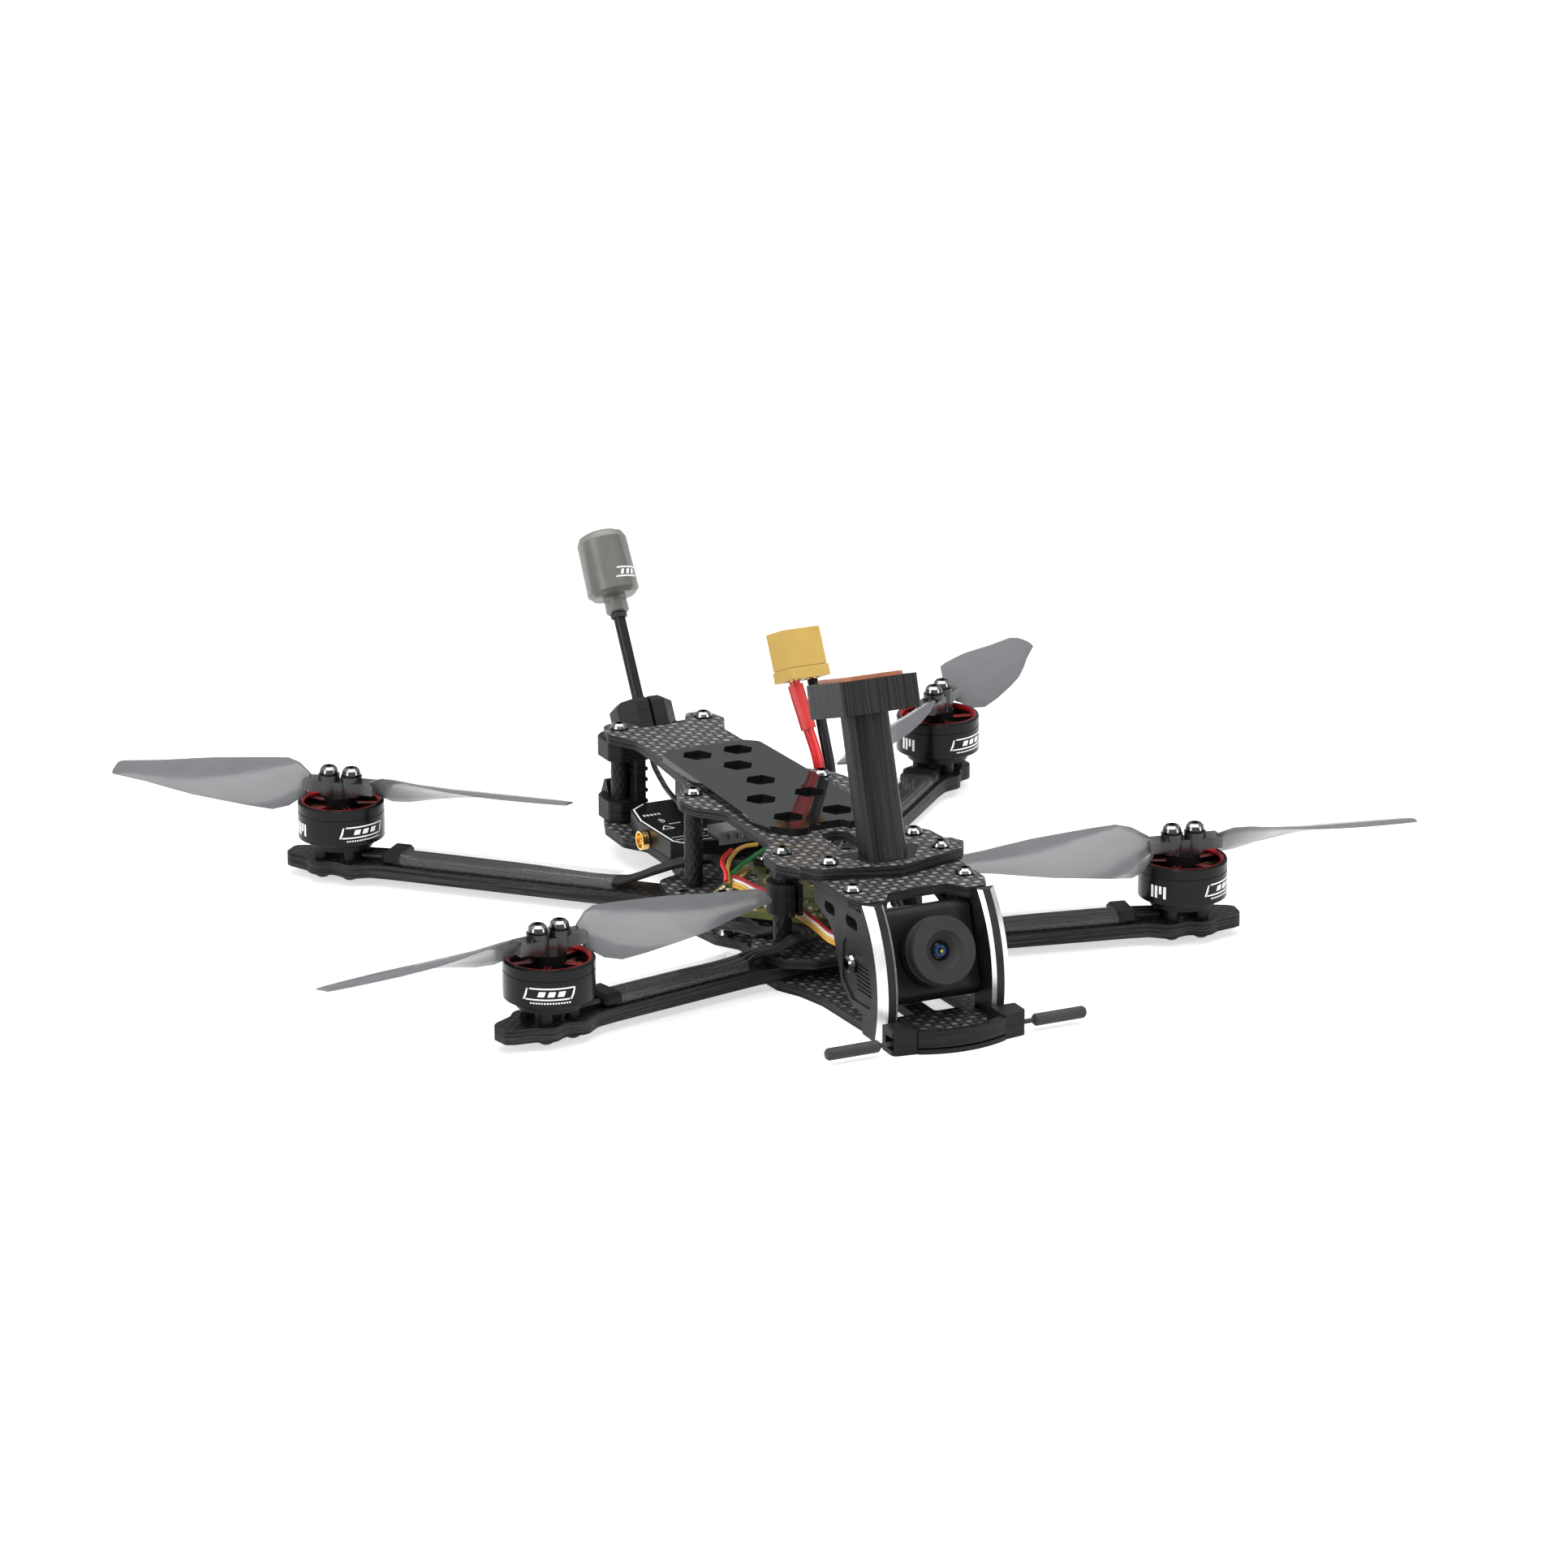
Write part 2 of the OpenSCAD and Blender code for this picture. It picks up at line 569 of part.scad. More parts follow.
module mast_foot_outline(gap) {
  polygon([
    [-8.6 - gap, -56.4], [8.6 + gap, -56.4], [8.6 + gap, -58.2], [4.2 + gap, -65.2 - gap],
    [-4.2 - gap, -65.2 - gap], [-8.6 - gap, -58.2]
  ]);
}

module gps_base_plate() {
  color("#2e2f32") translate([0, 0, z_deck]) difference() {
    linear_extrude(2.5) polygon(outline(mirrored(gps_half)));
    both() translate([mast_screw[0], mast_screw[1], -1]) cylinder(r = m2_r, h = 5);
    translate([0, 0, -1]) linear_extrude(5) mast_foot_outline(0.12);
  }
}

module along_mast() translate(mast_foot) rotate([-mast_lean, 0, 0]) children();

module gps_mast() {
  color("#222326") {
    translate([0, 0, z_deck + 0.05]) linear_extrude(2.4) mast_foot_outline(0);
    difference() {
      along_mast() {
        translate([0, 0, -3]) linear_extrude(mast_len + 3.5)
          polygon(outline([[-4.5, -4, 2.8], [4.5, -4, 2.8], [4.5, 4, 2.8], [-4.5, 4, 2.8]], 4));
        translate([0, 0, mast_len]) difference() {
          linear_extrude(tray_h) tray_outline(0);
          translate([0, 0, 2]) linear_extrude(tray_h) tray_outline(tray_wall);
        }
      }
      translate([-10, -80, z_deck - 9.95]) cube([20, 40, 10]);
    }
  }
}

module tray_outline(inset) {
  w = tray_w / 2 - inset;
  d = tray_d / 2 - inset;
  polygon(outline([[-w, -d, 0.8], [w, -d, 0.8], [w, d, 2.4], [-w, d, 2.4]], 3));
}

// Receiver: a board filling the tray and a square patch with cut corners
module gps_module() {
  w = tray_w / 2 - tray_wall - 0.3;
  d = tray_d / 2 - tray_wall - 0.3;
  color("#b4684a") along_mast() translate([0, 0, mast_len + 2.05]) {
    linear_extrude(1.2) tray_outline(tray_wall + 0.3);
    translate([0, 0, 1.22]) linear_extrude(4.4) polygon([
      [-w + 1.6, -d + 0.3], [w - 1.6, -d + 0.3], [w - 0.3, -d + 1.6], [w - 0.3, d - 2.2], [w - 2.2, d - 0.3],
      [-w + 2.2, d - 0.3], [-w + 0.3, d - 2.2], [-w + 0.3, -d + 1.6]
    ]);
  }
}

// ---- front antenna holder ----
module front_antenna_holder() {
  color("#1c1c1e") difference() {
    union() {
      // hollow block round each front corner of the bottom plate
      both() translate([9.2, 0, 0]) linear_extrude(5.15) polygon(outline([
        [0, -95, 0.6], [5.4, -94.2, 1], [5.4, -88, 0.8], [4.2, -87.4, 0.4], [0, -87.4, 0.4]
      ]));
      // curved band between the blocks, and the lip below it
      holder_bow(1.4, 3.3, 1.5);
      holder_bow(0, 1, 2.6);
    }
    // the plate's front end and the camera cage sit inside
    translate([0, 0, -eps]) linear_extrude(plate_t + 0.12) offset_plate();
    both() {
      translate([cage_in - 0.2, -89.3, -1]) cube([6, 4, 12]);
      // square socket for the antenna's root, and the way in for its lead
      translate([11, -93.9, 1]) cube([6, 3.2, 2.6]);
      translate([9, -92.9, 1.5]) cube([2.5, 1.4, 1.6]);
    }
  }
}

// Arc of the holder ahead of the plate: its underside, its height and its width
module holder_bow(z, height, width) {
  translate([0, 0, z]) linear_extrude(height) intersection() {
    translate([0, -75, 0]) difference() {
      circle(r = 22.4, $fn = 96);
      circle(r = 22.4 - width, $fn = 96);
    }
    translate([-9.6, -100]) square([19.2, 10]);
  }
}

// The front end of the bottom plate with a little room round it
module offset_plate() {
  polygon([[-13.7, -80], [-13.7, -91.2], [-9.9, -93.4], [9.9, -93.4], [13.7, -91.2], [13.7, -80]]);
}

module receiver_antenna() {
  color("#3a3a3c") both() translate([0, -92.7, rx_z]) rotate([0, 90, 0]) {
    translate([0, 0, 17]) rotate_extrude() polygon([
      [0, 0], [0.9, 0], [1.25, 0.4], [1.25, 11], [0.9, 11.5], [0, 11.6]
    ]);
    translate([0, 0, 11.2]) cylinder(r = 0.5, h = 6);
  }
}

// ---- electronics ----
module fc_outline(r) {
  s = 16.6 - r;
  polygon(outline([[-s, -s + 4.5, 1], [-s + 4.5, -s, 1], [s - 4.5, -s, 1], [s, -s + 4.5, 1], [s, s - 4.5, 1],
    [s - 4.5, s, 1], [-s + 4.5, s, 1], [-s, s - 4.5, 1]], 3));
}

module flight_controller() {
  color("#5c5a2c") translate([0, fc_y, fc_z]) rotate(45) {
    difference() {
      linear_extrude(fc_t) fc_outline(0);
      for (k = [0:3]) rotate(90 * k) translate([fc_hole, fc_hole, -1]) cylinder(r = 1.55, h = 4);
    }
    // processor, sensor and plugs
    for (c = [[-4, -4, 7, 7, 0.9], [6, -4.5, 3, 3, 0.8], [4.5, 5, 4, 5, 1], [-6.5, 6, 4.5, 3, 1.1]])
      translate([c[0] - c[2] / 2, c[1] - c[3] / 2, fc_t]) cube([c[2], c[3], c[4]]);
    for (k = [0, 2, 3]) rotate(90 * k) translate([-4, 12.4, fc_t]) cube([8, 3.4, 1.8]);
    // power stage chips below
    for (k = [0:3]) rotate(90 * k) for (j = [-1:1])
      translate([j * 3.6 - 1.6, 9.5, -0.9]) cube([3.2, 3.4, 0.9 + eps]);
  }
}

// Soft bushes that carry the controller board in a groove
module fc_grommets() {
  groove = fc_z - z_bay;
  color("#26262a") for (k = [0:3])
    translate([0, fc_y, 0]) rotate(90 * k) translate([fc_hole * sqrt(2), 0, z_bay]) rotate_extrude() polygon([
      [1.0, 0], [2.5, 0], [2.5, groove - 0.05], [1.5, groove - 0.05], [1.5, groove + fc_t + 0.05],
      [2.4, groove + fc_t + 0.05], [2.4, groove + fc_t + 0.9], [1.0, groove + fc_t + 0.9]
    ]);
}

vtx_half = [
  [0, 10, 0], [11.6, 10, 0.6], [13.6, 13, 0.6], [14, 28.8, 0.6], [12.2, 36.8, 0.6], [8.4, 39.6, 0.6],
  [0, 39.6, 0]
];

module vtx_case() {
  color("#19191b") translate([0, 0, vtx_z]) difference() {
    union() {
      linear_extrude(vtx_top - 1.4 - vtx_z) polygon(outline(mirrored(vtx_half), 3));
      for (x = [-10, 10]) for (y = [16, 36])
        translate([x, y, z_bay - vtx_z]) cylinder(r = 2, h = vtx_z - z_bay + eps);
    }
    for (x = [-10, 10]) for (y = [16, 36]) translate([x, y, -3]) cylinder(r = m2_r, h = 5);
    translate([-14.2, 24.6, 0.9]) rotate([0, 90, 0]) cylinder(r = 0.7, h = 3.2);
    translate([12.8, 21.9, 0.6]) cube([3, 2.2, 1.4]);
  }
}

module vtx_heatsink() {
  color("#101012") translate([0, 0, vtx_top - 1.4]) difference() {
    linear_extrude(1.4) difference() {
      polygon(outline(mirrored(vtx_half), 3));
      translate([-4.2, 0]) square([14.2, 16.2]);
    }
    // cooling grooves across the front half
    for (k = [0:3]) translate([1.5, 18 + 2.6 * k, 0.7]) cube([12, 1.2, 2]);
  }
}

module vtx_shield() {
  color("#c4c6c8") translate([0, 0, vtx_top - 1.35]) difference() {
    translate([-3.8, 9.9, 0]) cube([13.2, 6, 2.9]);
    for (k = [0:2]) translate([-2.4 + 2 * k, 9.7, 1]) cube([1.2, 1, 1.2]);
  }
}

// Antenna socket: a wide ring outside the case, its barrel inside and a centre pin
module vtx_socket() {
  color("#caa24a") translate([-15.6, 24.6, vtx_z + 0.9]) rotate([0, 90, 0]) {
    rotate_extrude() polygon([[1.65, 0], [2.05, 0], [2.05, 1.45], [0, 1.45], [0, 1.1], [1.65, 1.1]]);
    translate([0, 0, 0.3]) cylinder(r = 0.3, h = 0.9);
    translate([0, 0, 1.4]) cylinder(r = 0.65, h = 3);
  }
}

module boot_button() {
  color("#d8d8d4") translate([0, fc_y, fc_z + fc_t]) rotate(45) translate([10.6, 2, 0.35])
    cylinder(r = 0.7, h = 1);
}

module vtx_button() {
  color("#d8d8d4") translate([13.4, 22.3, vtx_z + 0.75]) cube([1.4, 1.4, 1.1]);
}

// ---- battery leads ----
module at_plug() translate(plug_at) rotate(plug_side) rotate([-plug_lean, 0, 0]) rotate(plug_turn) children();

module battery_lead_red() color("#d8363a") tube(red_route, lead_d);
module battery_lead_black() color("#18181a") tube(black_route, lead_d);

module lead_heatshrink() {
  color("#e04448") tube(shrink_route, 3.3, 10);
}

module power_connector() {
  color("#d9b44f") at_plug() difference() {
    union() {
      translate([-plug_w / 2, -plug_t / 2, 2.6]) cube([plug_w, plug_t, plug_len - 2.6]);
      translate([-plug_w / 2 - 0.2, -plug_t / 2 - 0.2, 0]) cube([plug_w + 0.4, plug_t + 0.4, 2.4]);
      translate([-plug_w / 2 + 0.15, -plug_t / 2 + 0.15, 2.2]) cube([plug_w - 0.3, plug_t - 0.3, 0.6]);
    }
    translate([-plug_w / 2 + 0.9, -plug_t / 2 + 0.9, 4]) cube([plug_w - 1.8, plug_t - 1.8, plug_len]);
    for (x = [-2.5, 2.5]) translate([x, 0, -1]) cylinder(r = 1.75, h = 2.6);
  }
}

// ---- wiring ----
// Three leads in an arc from the transmitter to the flight controller: red, yellow and green
wire_arcs = [
  [
    [-9.4, -8.2, 16.2], [-12.3, -10.7, 15.6], [-13.5, -12.6, 15.1], [-14.1, -15.5, 14.2], [-15, -17.6, 13]
  ],
  [
    [-2.6, -6.7, 16], [-5.6, -5.9, 15.6], [-9, -8.1, 14.9], [-12, -12.1, 13.9], [-14, -16.8, 12.5]
  ],
  [
    [-1.4, -7.5, 15], [-5.3, -9.4, 14.2], [-9.8, -12.6, 13.7], [-12.2, -14.9, 13.3]
  ]
];
// The camera's flat lead, on edge: behind the clip and the side plate to the back of the camera
camera_flat = [
  [-12.7, -16.4, 12.3], [-12, -20, 12.4], [-11.9, -24, 12.6], [-11.6, -30, 13], [-11, -36, 13.3],
  [-10.3, -43.5, 13.2], [-9.8, -50, 12.6], [-9.3, -56, 11.9], [-7.6, -60.4, 12.2], [-4, -63.2, 13.2]
];
flat_pitch = 0.72;

module signal_wires() {
  for (w = [0:2]) color(["#c23030", "#d9ac45", "#2f9a48"][w]) tube(spline(wire_arcs[w], 2), 0.9);
  for (w = [0:3]) color(["#a02428", "#e8e6e0", "#d9ac45", "#d9ac45"][w])
    tube([for (p = camera_flat) p + [0, 0, flat_pitch * (1.5 - w)]], 0.75);
}

// Phase wires: three lie side by side in a motor's sleeve and run on to the controller's edge.
// Free points: x and y, height on the right and on the left, and the step in x and y to the next wire
front_run = [
  [-22.5, -46.2, 7.2, 7.2, -0.25, 1.25], [-18.6, -48.8, 8.6, 8.6, 0.85, 0.85],
  [-15.2, -50.8, 10.9, 10.9, 0, 1.25], [-11.8, -49.6, 10.4, 10.4, -0.9, 0.85],
  [-9.6, -44, 9.7, 9.7, -1.25, 0], [-11.4, -39.6, 8.9, 8.9, -0.8, -0.95],
  [-15.4, -37.4, 8.3, 8.3, -0.85, -0.9], [-18.4, -30.5, 7.7, 7.7, -1.2, -0.35],
  [-20.6, -27.8, 7.7, 7.7, -1.2, -0.35], [-20.6, -26.2, 8, 8, -1.2, -0.35],
  [-18.2, -27.3, 8.3, 8.3, -1.2, -0.35]
];
rear_run = [
  [-23.6, 8.2, 7.4, 7.4, 0.85, 0.85], [-19.4, 6, 9.2, 8.2, 0.6, 1.1], [-14.6, 4.3, 10.6, 8.3, 0.2, 1.25],
  [-10.4, 1.6, 11.4, 8.2, 0.7, 1.05], [-8.6, -3, 11.9, 8, 1.25, 0.1], [-8.8, -7.2, 11.5, 7.9, 1.25, 0]
];

// Run of wire k, with s = 1 on the right side and -1 on the left
function beside(run, s, k) = [
  for (p = run) [s * (p[0] + k * p[4]), p[1] + k * p[5], s > 0 ? p[2] : p[3]]
];
sleeve_from = 13.5;
sleeve_to = [64.5, 47.5, 47.5, 64.5];

// Point beside arm i: along it from the motor, across it, and a height
function arm_point(i, along, across, z) =
  let (turn = arm_run(i, arm_post(i))[0])
  concat(motors[i] + [along * cos(turn) - across * sin(turn), along * sin(turn) + across * cos(turn)], [z]);

module phase_wires(i) {
  side = -sign(motors[i][0]);
  run = i % 3 == 0 ? rear_run : front_run;
  for (k = [-1:1]) tube(concat(
    [
      arm_point(i, 5.6, 1.7 * k * side, z_mid + 1), arm_point(i, 9.5, 1.9 * k * side, z_mid + 1.15),
      arm_point(i, sleeve_from, 1.95 * k * side, z_mid + 1.25),
      arm_point(i, (sleeve_from + sleeve_to[i]) / 2, 1.95 * k * side, z_mid + 1.25),
      arm_point(i, sleeve_to[i] - 0.5, 1.9 * k * side, z_mid + 1.3)
    ],
    beside(run, side, k)
  ), 1.3);
}

module motor_wires() color("#1f1f21") for (i = [0:3]) phase_wires(i);

// Clear sleeve over the wires on each arm
module arm_sleeves() {
  color("#cfd2d4", 0.4) for (i = [0:3])
    at_motor(i) rotate(arm_run(i, arm_post(i))[0]) translate([sleeve_from, 0, z_mid + 0.02])
      rotate([90, 0, 90]) linear_extrude(sleeve_to[i] - sleeve_from - 1.5) difference() {
        polygon(outline([[-3.9, 0, 0.8], [3.9, 0, 0.8], [3.9, 2.6, 1.2], [-3.9, 2.6, 1.2]], 4));
        polygon(outline([[-3.6, 0.25, 0.6], [3.6, 0.25, 0.6], [3.6, 2.35, 1], [-3.6, 2.35, 1]], 4));
      }
}

// Clip round the front right standoff, with a short ear and a slot in it
module wire_clip() {
  color("#1c1c1e") translate([-front_post[0], front_post[1], z_bay + 7.8]) difference() {
    union() {
      cylinder(r = 3.3, h = 6.4);
      translate([-0.4, -4.6, 0]) cube([2.8, 4.6, 6.4]);
    }
    translate([0, 0, -1]) cylinder(d = post_d + 0.1, h = 9);
    translate([0.7, -5, -1]) cube([0.7, 5, 9]);
  }
}

// ---- motors ----
module motor_bases() {
  color("#1a1a1c") for (i = [0:3]) at_motor(i)
    translate([0, 0, z_mid]) rotate(arm_run(i, arm_post(i))[0]) difference() {
      union() {
        for (k = [0:3]) rotate(45 + 90 * k) {
          translate([motor_pcd / 2, 0, 0]) cylinder(r = 1.5, h = 3.1);
          translate([2.8, -1.1, 2.25]) cube([3.2, 2.2, 1.3]);
        }
        rotate_extrude() polygon([[5.5, 2.5], [6.7, 2.5], [6.7, 3.8], [5.5, 3.8]]);
        // bearing tube with a pocket at each end
        rotate_extrude() polygon([
          [3.3, 2.2], [3.3, 3.4], [2.55, 3.4], [2.55, 9.8], [2, 9.8], [2, 7.6], [1.2, 7.6], [1.2, 4.3],
          [2, 4.3], [2, 2.2]
        ]);
      }
      for (k = [0:3]) rotate(45 + 90 * k) translate([motor_pcd / 2, 0, -1]) cylinder(r = m2_r, h = 2.5);
    }
}

// Stator stack with nine wound teeth, and the two ball bearings in the base's tube
module motor_cores() {
  color("#a8622e") for (i = [0:3]) at_motor(i) {
    translate([0, 0, z_mid + 5]) {
      difference() {
        cylinder(r = 3.7, h = 3.6);
        translate([0, 0, -1]) cylinder(r = 2.6, h = 7);
      }
      for (k = [0:8]) rotate(40 * k) {
        translate([3.5, -0.5, 0.4]) cube([3.4, 1, 2.8]);
        translate([4.1, -0.95, 0]) cube([2.2, 1.9, 3.6]);
        intersection() {
          difference() {
            cylinder(r = 7.3, h = 3.6);
            translate([0, 0, -1]) cylinder(r = 6.7, h = 7);
          }
          translate([6, -2, 0]) cube([2, 4, 3.6]);
        }
      }
    }
    for (z = [2.2, 7.6]) translate([0, 0, z_mid + z + 0.05]) difference() {
      cylinder(r = 1.98, h = 2);
      translate([0, 0, -1]) cylinder(r = 0.8, h = 5);
    }
  }
}

// Outrunner bell: a grooved ring, a hub and five spokes
module bell() {
  r = bell_d / 2;
  difference() {
    union() {
      translate([0, 0, z_bell]) rotate_extrude($fn = 96) polygon([
        [r - 0.7, 0], [r - 0.12, 0], [r, 0.12], [r, 5.6], [r - 0.12, 5.68], [r - 0.12, 5.8], [r, 5.88],
        [r, 7.65], [r - 0.25, 8], [r - 0.8, 8], [r - 1.35, 7.45], [r - 1.35, 6.2], [r - 0.7, 6]
      ]);
      translate([0, 0, z_bell + 5.9]) cylinder(r = 3.5, h = z_seat - z_bell - 5.9);
      for (k = [0:4]) rotate(72 * k + 18) translate([3.2, -0.65, z_bell + 5.9]) cube([5, 1.3, 1.15]);
    }
    translate([0, 0, z_bell]) cylinder(r = 0.75, h = 12);
    for (x = [-1, 1]) translate([x * prop_screw_pitch / 2, 0, z_bell]) cylinder(r = 0.8, h = 12);
  }
}

// Shaft and twelve magnets
module rotor_core() {
  translate([0, 0, z_mid + 1.1]) cylinder(r = 0.75, h = z_seat + 1 - z_mid - 1.1);
  for (k = [0:11]) rotate(30 * k) intersection() {
    translate([0, 0, z_bell + 0.4]) difference() {
      cylinder(r = bell_d / 2 - 0.7, h = 4.6);
      translate([0, 0, -1]) cylinder(r = bell_d / 2 - 1.35, h = 8);
    }
    translate([6, -1.8, 0]) cube([4, 3.6, 30]);
  }
}

// Chord of a blade at shares of the radius, from the root to the blunt tip
chord_at = [
  [0.14, 5], [0.2, 10.5], [0.26, 13.6], [0.36, 14.4], [0.5, 14.4], [0.61, 13.8],
  [0.72, 11.8], [0.83, 9.2], [0.92, 7.6], [0.985, 6.4], [1, 5.2]
];
blade_z = 2;

// Twisted blade along +X. hand is 1 for anticlockwise and -1 for clockwise, seen from above.
module blade(hand) {
  s = 12;
  points = [
    for (c = chord_at)
      let (r = c[0] * prop_r, w = c[1], twist = atan(prop_pitch / (2 * PI * max(r, 9))))
      let (thick = 1.6 - 1.0 * c[0])
      for (j = [0:s - 1])
        let (a = 360 * j / s, bow = 0.05 * w * (1 - pow(cos(a), 2)))
        let (u = cos(a) * w / 2 - 0.06 * w, v = sin(a) * thick / 2 + bow)
        [r, hand * (u * cos(twist) - v * sin(twist)), blade_z + u * sin(twist) + v * cos(twist)]
  ];
  faces = skin(len(chord_at), s);
  polyhedron(points, hand > 0 ? faces : [for (f = faces) [for (k = [len(f) - 1:-1:0]) f[k]]]);
}

module propeller(hand) {
  translate([0, 0, z_seat]) difference() {
    union() {
      for (x = [-1, 1]) translate([x * prop_screw_pitch / 2, 0, 0.02])
        cylinder(r = 2.3, h = z_boss - z_seat - 0.04);
      translate([-prop_screw_pitch / 2, -1.7, 0.02]) cube([prop_screw_pitch, 3.4, 3]);
      for (k = [0, 180]) rotate(k) {
        blade(hand);
        translate([3.2, -2.2, 0.8]) cube([4.6, 4.4, 2.4]);
      }
    }
    for (x = [-1, 1]) translate([x * prop_screw_pitch / 2, 0, -1]) cylinder(r = 1, h = 9);
    translate([0, 0, -1]) cylinder(r = 0.8, h = 3);
  }
}

module prop_screws() {
  for (x = [-1, 1]) translate([x * prop_screw_pitch / 2, 0, z_boss])
    difference() {
      union() {
        rotate_extrude()
          polygon([[0, 0], [1.95, 0], [2, 0.5], [1.8, 1.25], [1.3, 1.75], [0.9, 1.85], [0, 1.85]]);
        translate([0, 0, -6.6]) cylinder(r = 0.78, h = 6.62);
      }
      translate([0, 0, 0.9]) cylinder(r = 0.75, h = 2, $fn = 6);
    }
}

prop_angles = [prop_angle_rr, prop_angle_fr, prop_angle_fl, prop_angle_rl];
// Front right and rear left turn anticlockwise seen from above, the other two clockwise
prop_hands = [-1, 1, -1, 1];

module placed_bell(i) color("#1d1d20") at_motor(i) rotate(prop_angles[i]) bell();
module placed_core(i) color("#8d9096") at_motor(i) rotate(prop_angles[i]) rotor_core();
module placed_propeller(i) color("#9a9da0", 0.85) at_motor(i) rotate(prop_angles[i]) propeller(prop_hands[i]);
module placed_prop_screws(i) color("#d5d7db") at_motor(i) rotate(prop_angles[i]) prop_screws();

bottom_plate();
middle_plate();
top_plate();
arm_front_right();
arm_front_left();
arm_rear_right();
arm_rear_left();
standoffs();
screws();
battery_pad();
rear_antenna_mount();
antenna_stem();
antenna_cap();
antenna_element();
antenna_coax();
side_plate_right();
side_plate_left();
gps_base_plate();
gps_mast();
gps_module();
front_antenna_holder();
receiver_antenna();
flight_controller();
fc_grommets();
vtx_case();
vtx_heatsink();
vtx_shield();
vtx_socket();
battery_lead_red();
battery_lead_black();
lead_heatshrink();
power_connector();
signal_wires();
motor_wires();
arm_sleeves();
wire_clip();
motor_bases();
motor_cores();
camera_housing();
lens_barrel();
lens_glass();
camera_screws();
boot_button();
vtx_button();
placed_bell(0);  // bell_rr
placed_core(0);  // rotor_core_rr
placed_propeller(0);  // propeller_rr
placed_prop_screws(0);  // prop_screws_rr
placed_bell(1);  // bell_fr
placed_core(1);  // rotor_core_fr
placed_propeller(1);  // propeller_fr
placed_prop_screws(1);  // prop_screws_fr
placed_bell(2);  // bell_fl
placed_core(2);  // rotor_core_fl
placed_propeller(2);  // propeller_fl
placed_prop_screws(2);  // prop_screws_fl
placed_bell(3);  // bell_rl
placed_core(3);  // rotor_core_rl
placed_propeller(3);  // propeller_rl
placed_prop_screws(3);  // prop_screws_rl
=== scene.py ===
"""Looks of the quadcopter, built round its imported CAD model. Metres; nose towards -Y."""

import math
import random

import bmesh
import bpy
from mathutils import Matrix, Vector


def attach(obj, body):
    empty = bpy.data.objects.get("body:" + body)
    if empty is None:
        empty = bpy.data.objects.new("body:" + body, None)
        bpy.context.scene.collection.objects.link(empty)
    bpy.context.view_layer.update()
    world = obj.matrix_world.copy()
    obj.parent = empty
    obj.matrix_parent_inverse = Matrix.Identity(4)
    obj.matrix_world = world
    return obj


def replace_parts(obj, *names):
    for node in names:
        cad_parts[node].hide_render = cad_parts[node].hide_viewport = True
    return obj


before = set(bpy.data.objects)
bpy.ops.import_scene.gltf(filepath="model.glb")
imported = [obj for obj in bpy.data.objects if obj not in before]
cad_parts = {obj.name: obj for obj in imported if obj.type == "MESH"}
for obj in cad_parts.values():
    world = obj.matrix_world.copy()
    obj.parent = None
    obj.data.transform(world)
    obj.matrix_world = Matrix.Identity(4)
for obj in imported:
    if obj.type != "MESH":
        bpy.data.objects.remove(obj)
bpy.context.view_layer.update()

MM = 0.001
TAU = 2 * math.pi
rng = random.Random(7)
scene = bpy.context.scene

# ---------------------------------------------------------------- camera
camera = bpy.data.objects.new("camera_view", bpy.data.cameras.new("camera_view"))
scene.collection.objects.link(camera)
scene.camera = camera
camera.data.sensor_width = 36
camera.data.lens = 136.39
camera.data.clip_start = 0.05
camera.data.clip_end = 20
CAM_RIGHT = Vector((0.90298476, -0.42966796, -0.00199491))
CAM_UP = Vector((0.13256391, 0.27417226, 0.95250007))
CAM_BACK = Vector((-0.40871181, -0.8603575, 0.30453183))
CAM_EYE = Vector((-0.50073661, -1.06804658, 0.40393786))
camera.matrix_world = Matrix([*zip(CAM_RIGHT, CAM_UP, CAM_BACK, CAM_EYE), (0, 0, 0, 1)])

# ---------------------------------------------------------------- layout, in millimetres as in the CAD
MOTORS = {"rr": (-70.95, 55.8), "fr": (-70.95, -55.8), "fl": (70.95, -55.8), "rl": (70.95, 55.8)}
PROP_ANGLE = {"rr": -41.1, "fr": 8.5, "fl": -9.3, "rl": 41.3}
ARM_ROOT = {"rr": (-14.7, -1), "fr": (-14.7, -44.1), "fl": (14.7, -44.1), "rl": (14.7, -1)}
POSTS = [(9.9, 47.5), (14.7, -1), (14.7, -44.1)]
Z_ARM_TOP, Z_BAY = 5, 7
Z_BELL = 9.4
FC_Y, FC_TOP = -22.5, 10.7
VTX_TOP = 12.2
PIVOT = (0, -75.2, 13.3)
TILT = 20
ANT_FOOT, ANT_LEAN = (0, 59.4, 28.6), 31.5
MAST_FOOT, MAST_LEAN, MAST_LEN = (0, -59.9, 29.5), 17.5, 28.2
PLUG_AT, PLUG_SIDE, PLUG_LEAN, PLUG_TURN = (16.44, 11.29, 44.36), 4.6, 24.2, 11.4
LEAD_D = 2.3
SLEEVE_END = {"r": 64.5, "f": 47.5}
INK = 0.03

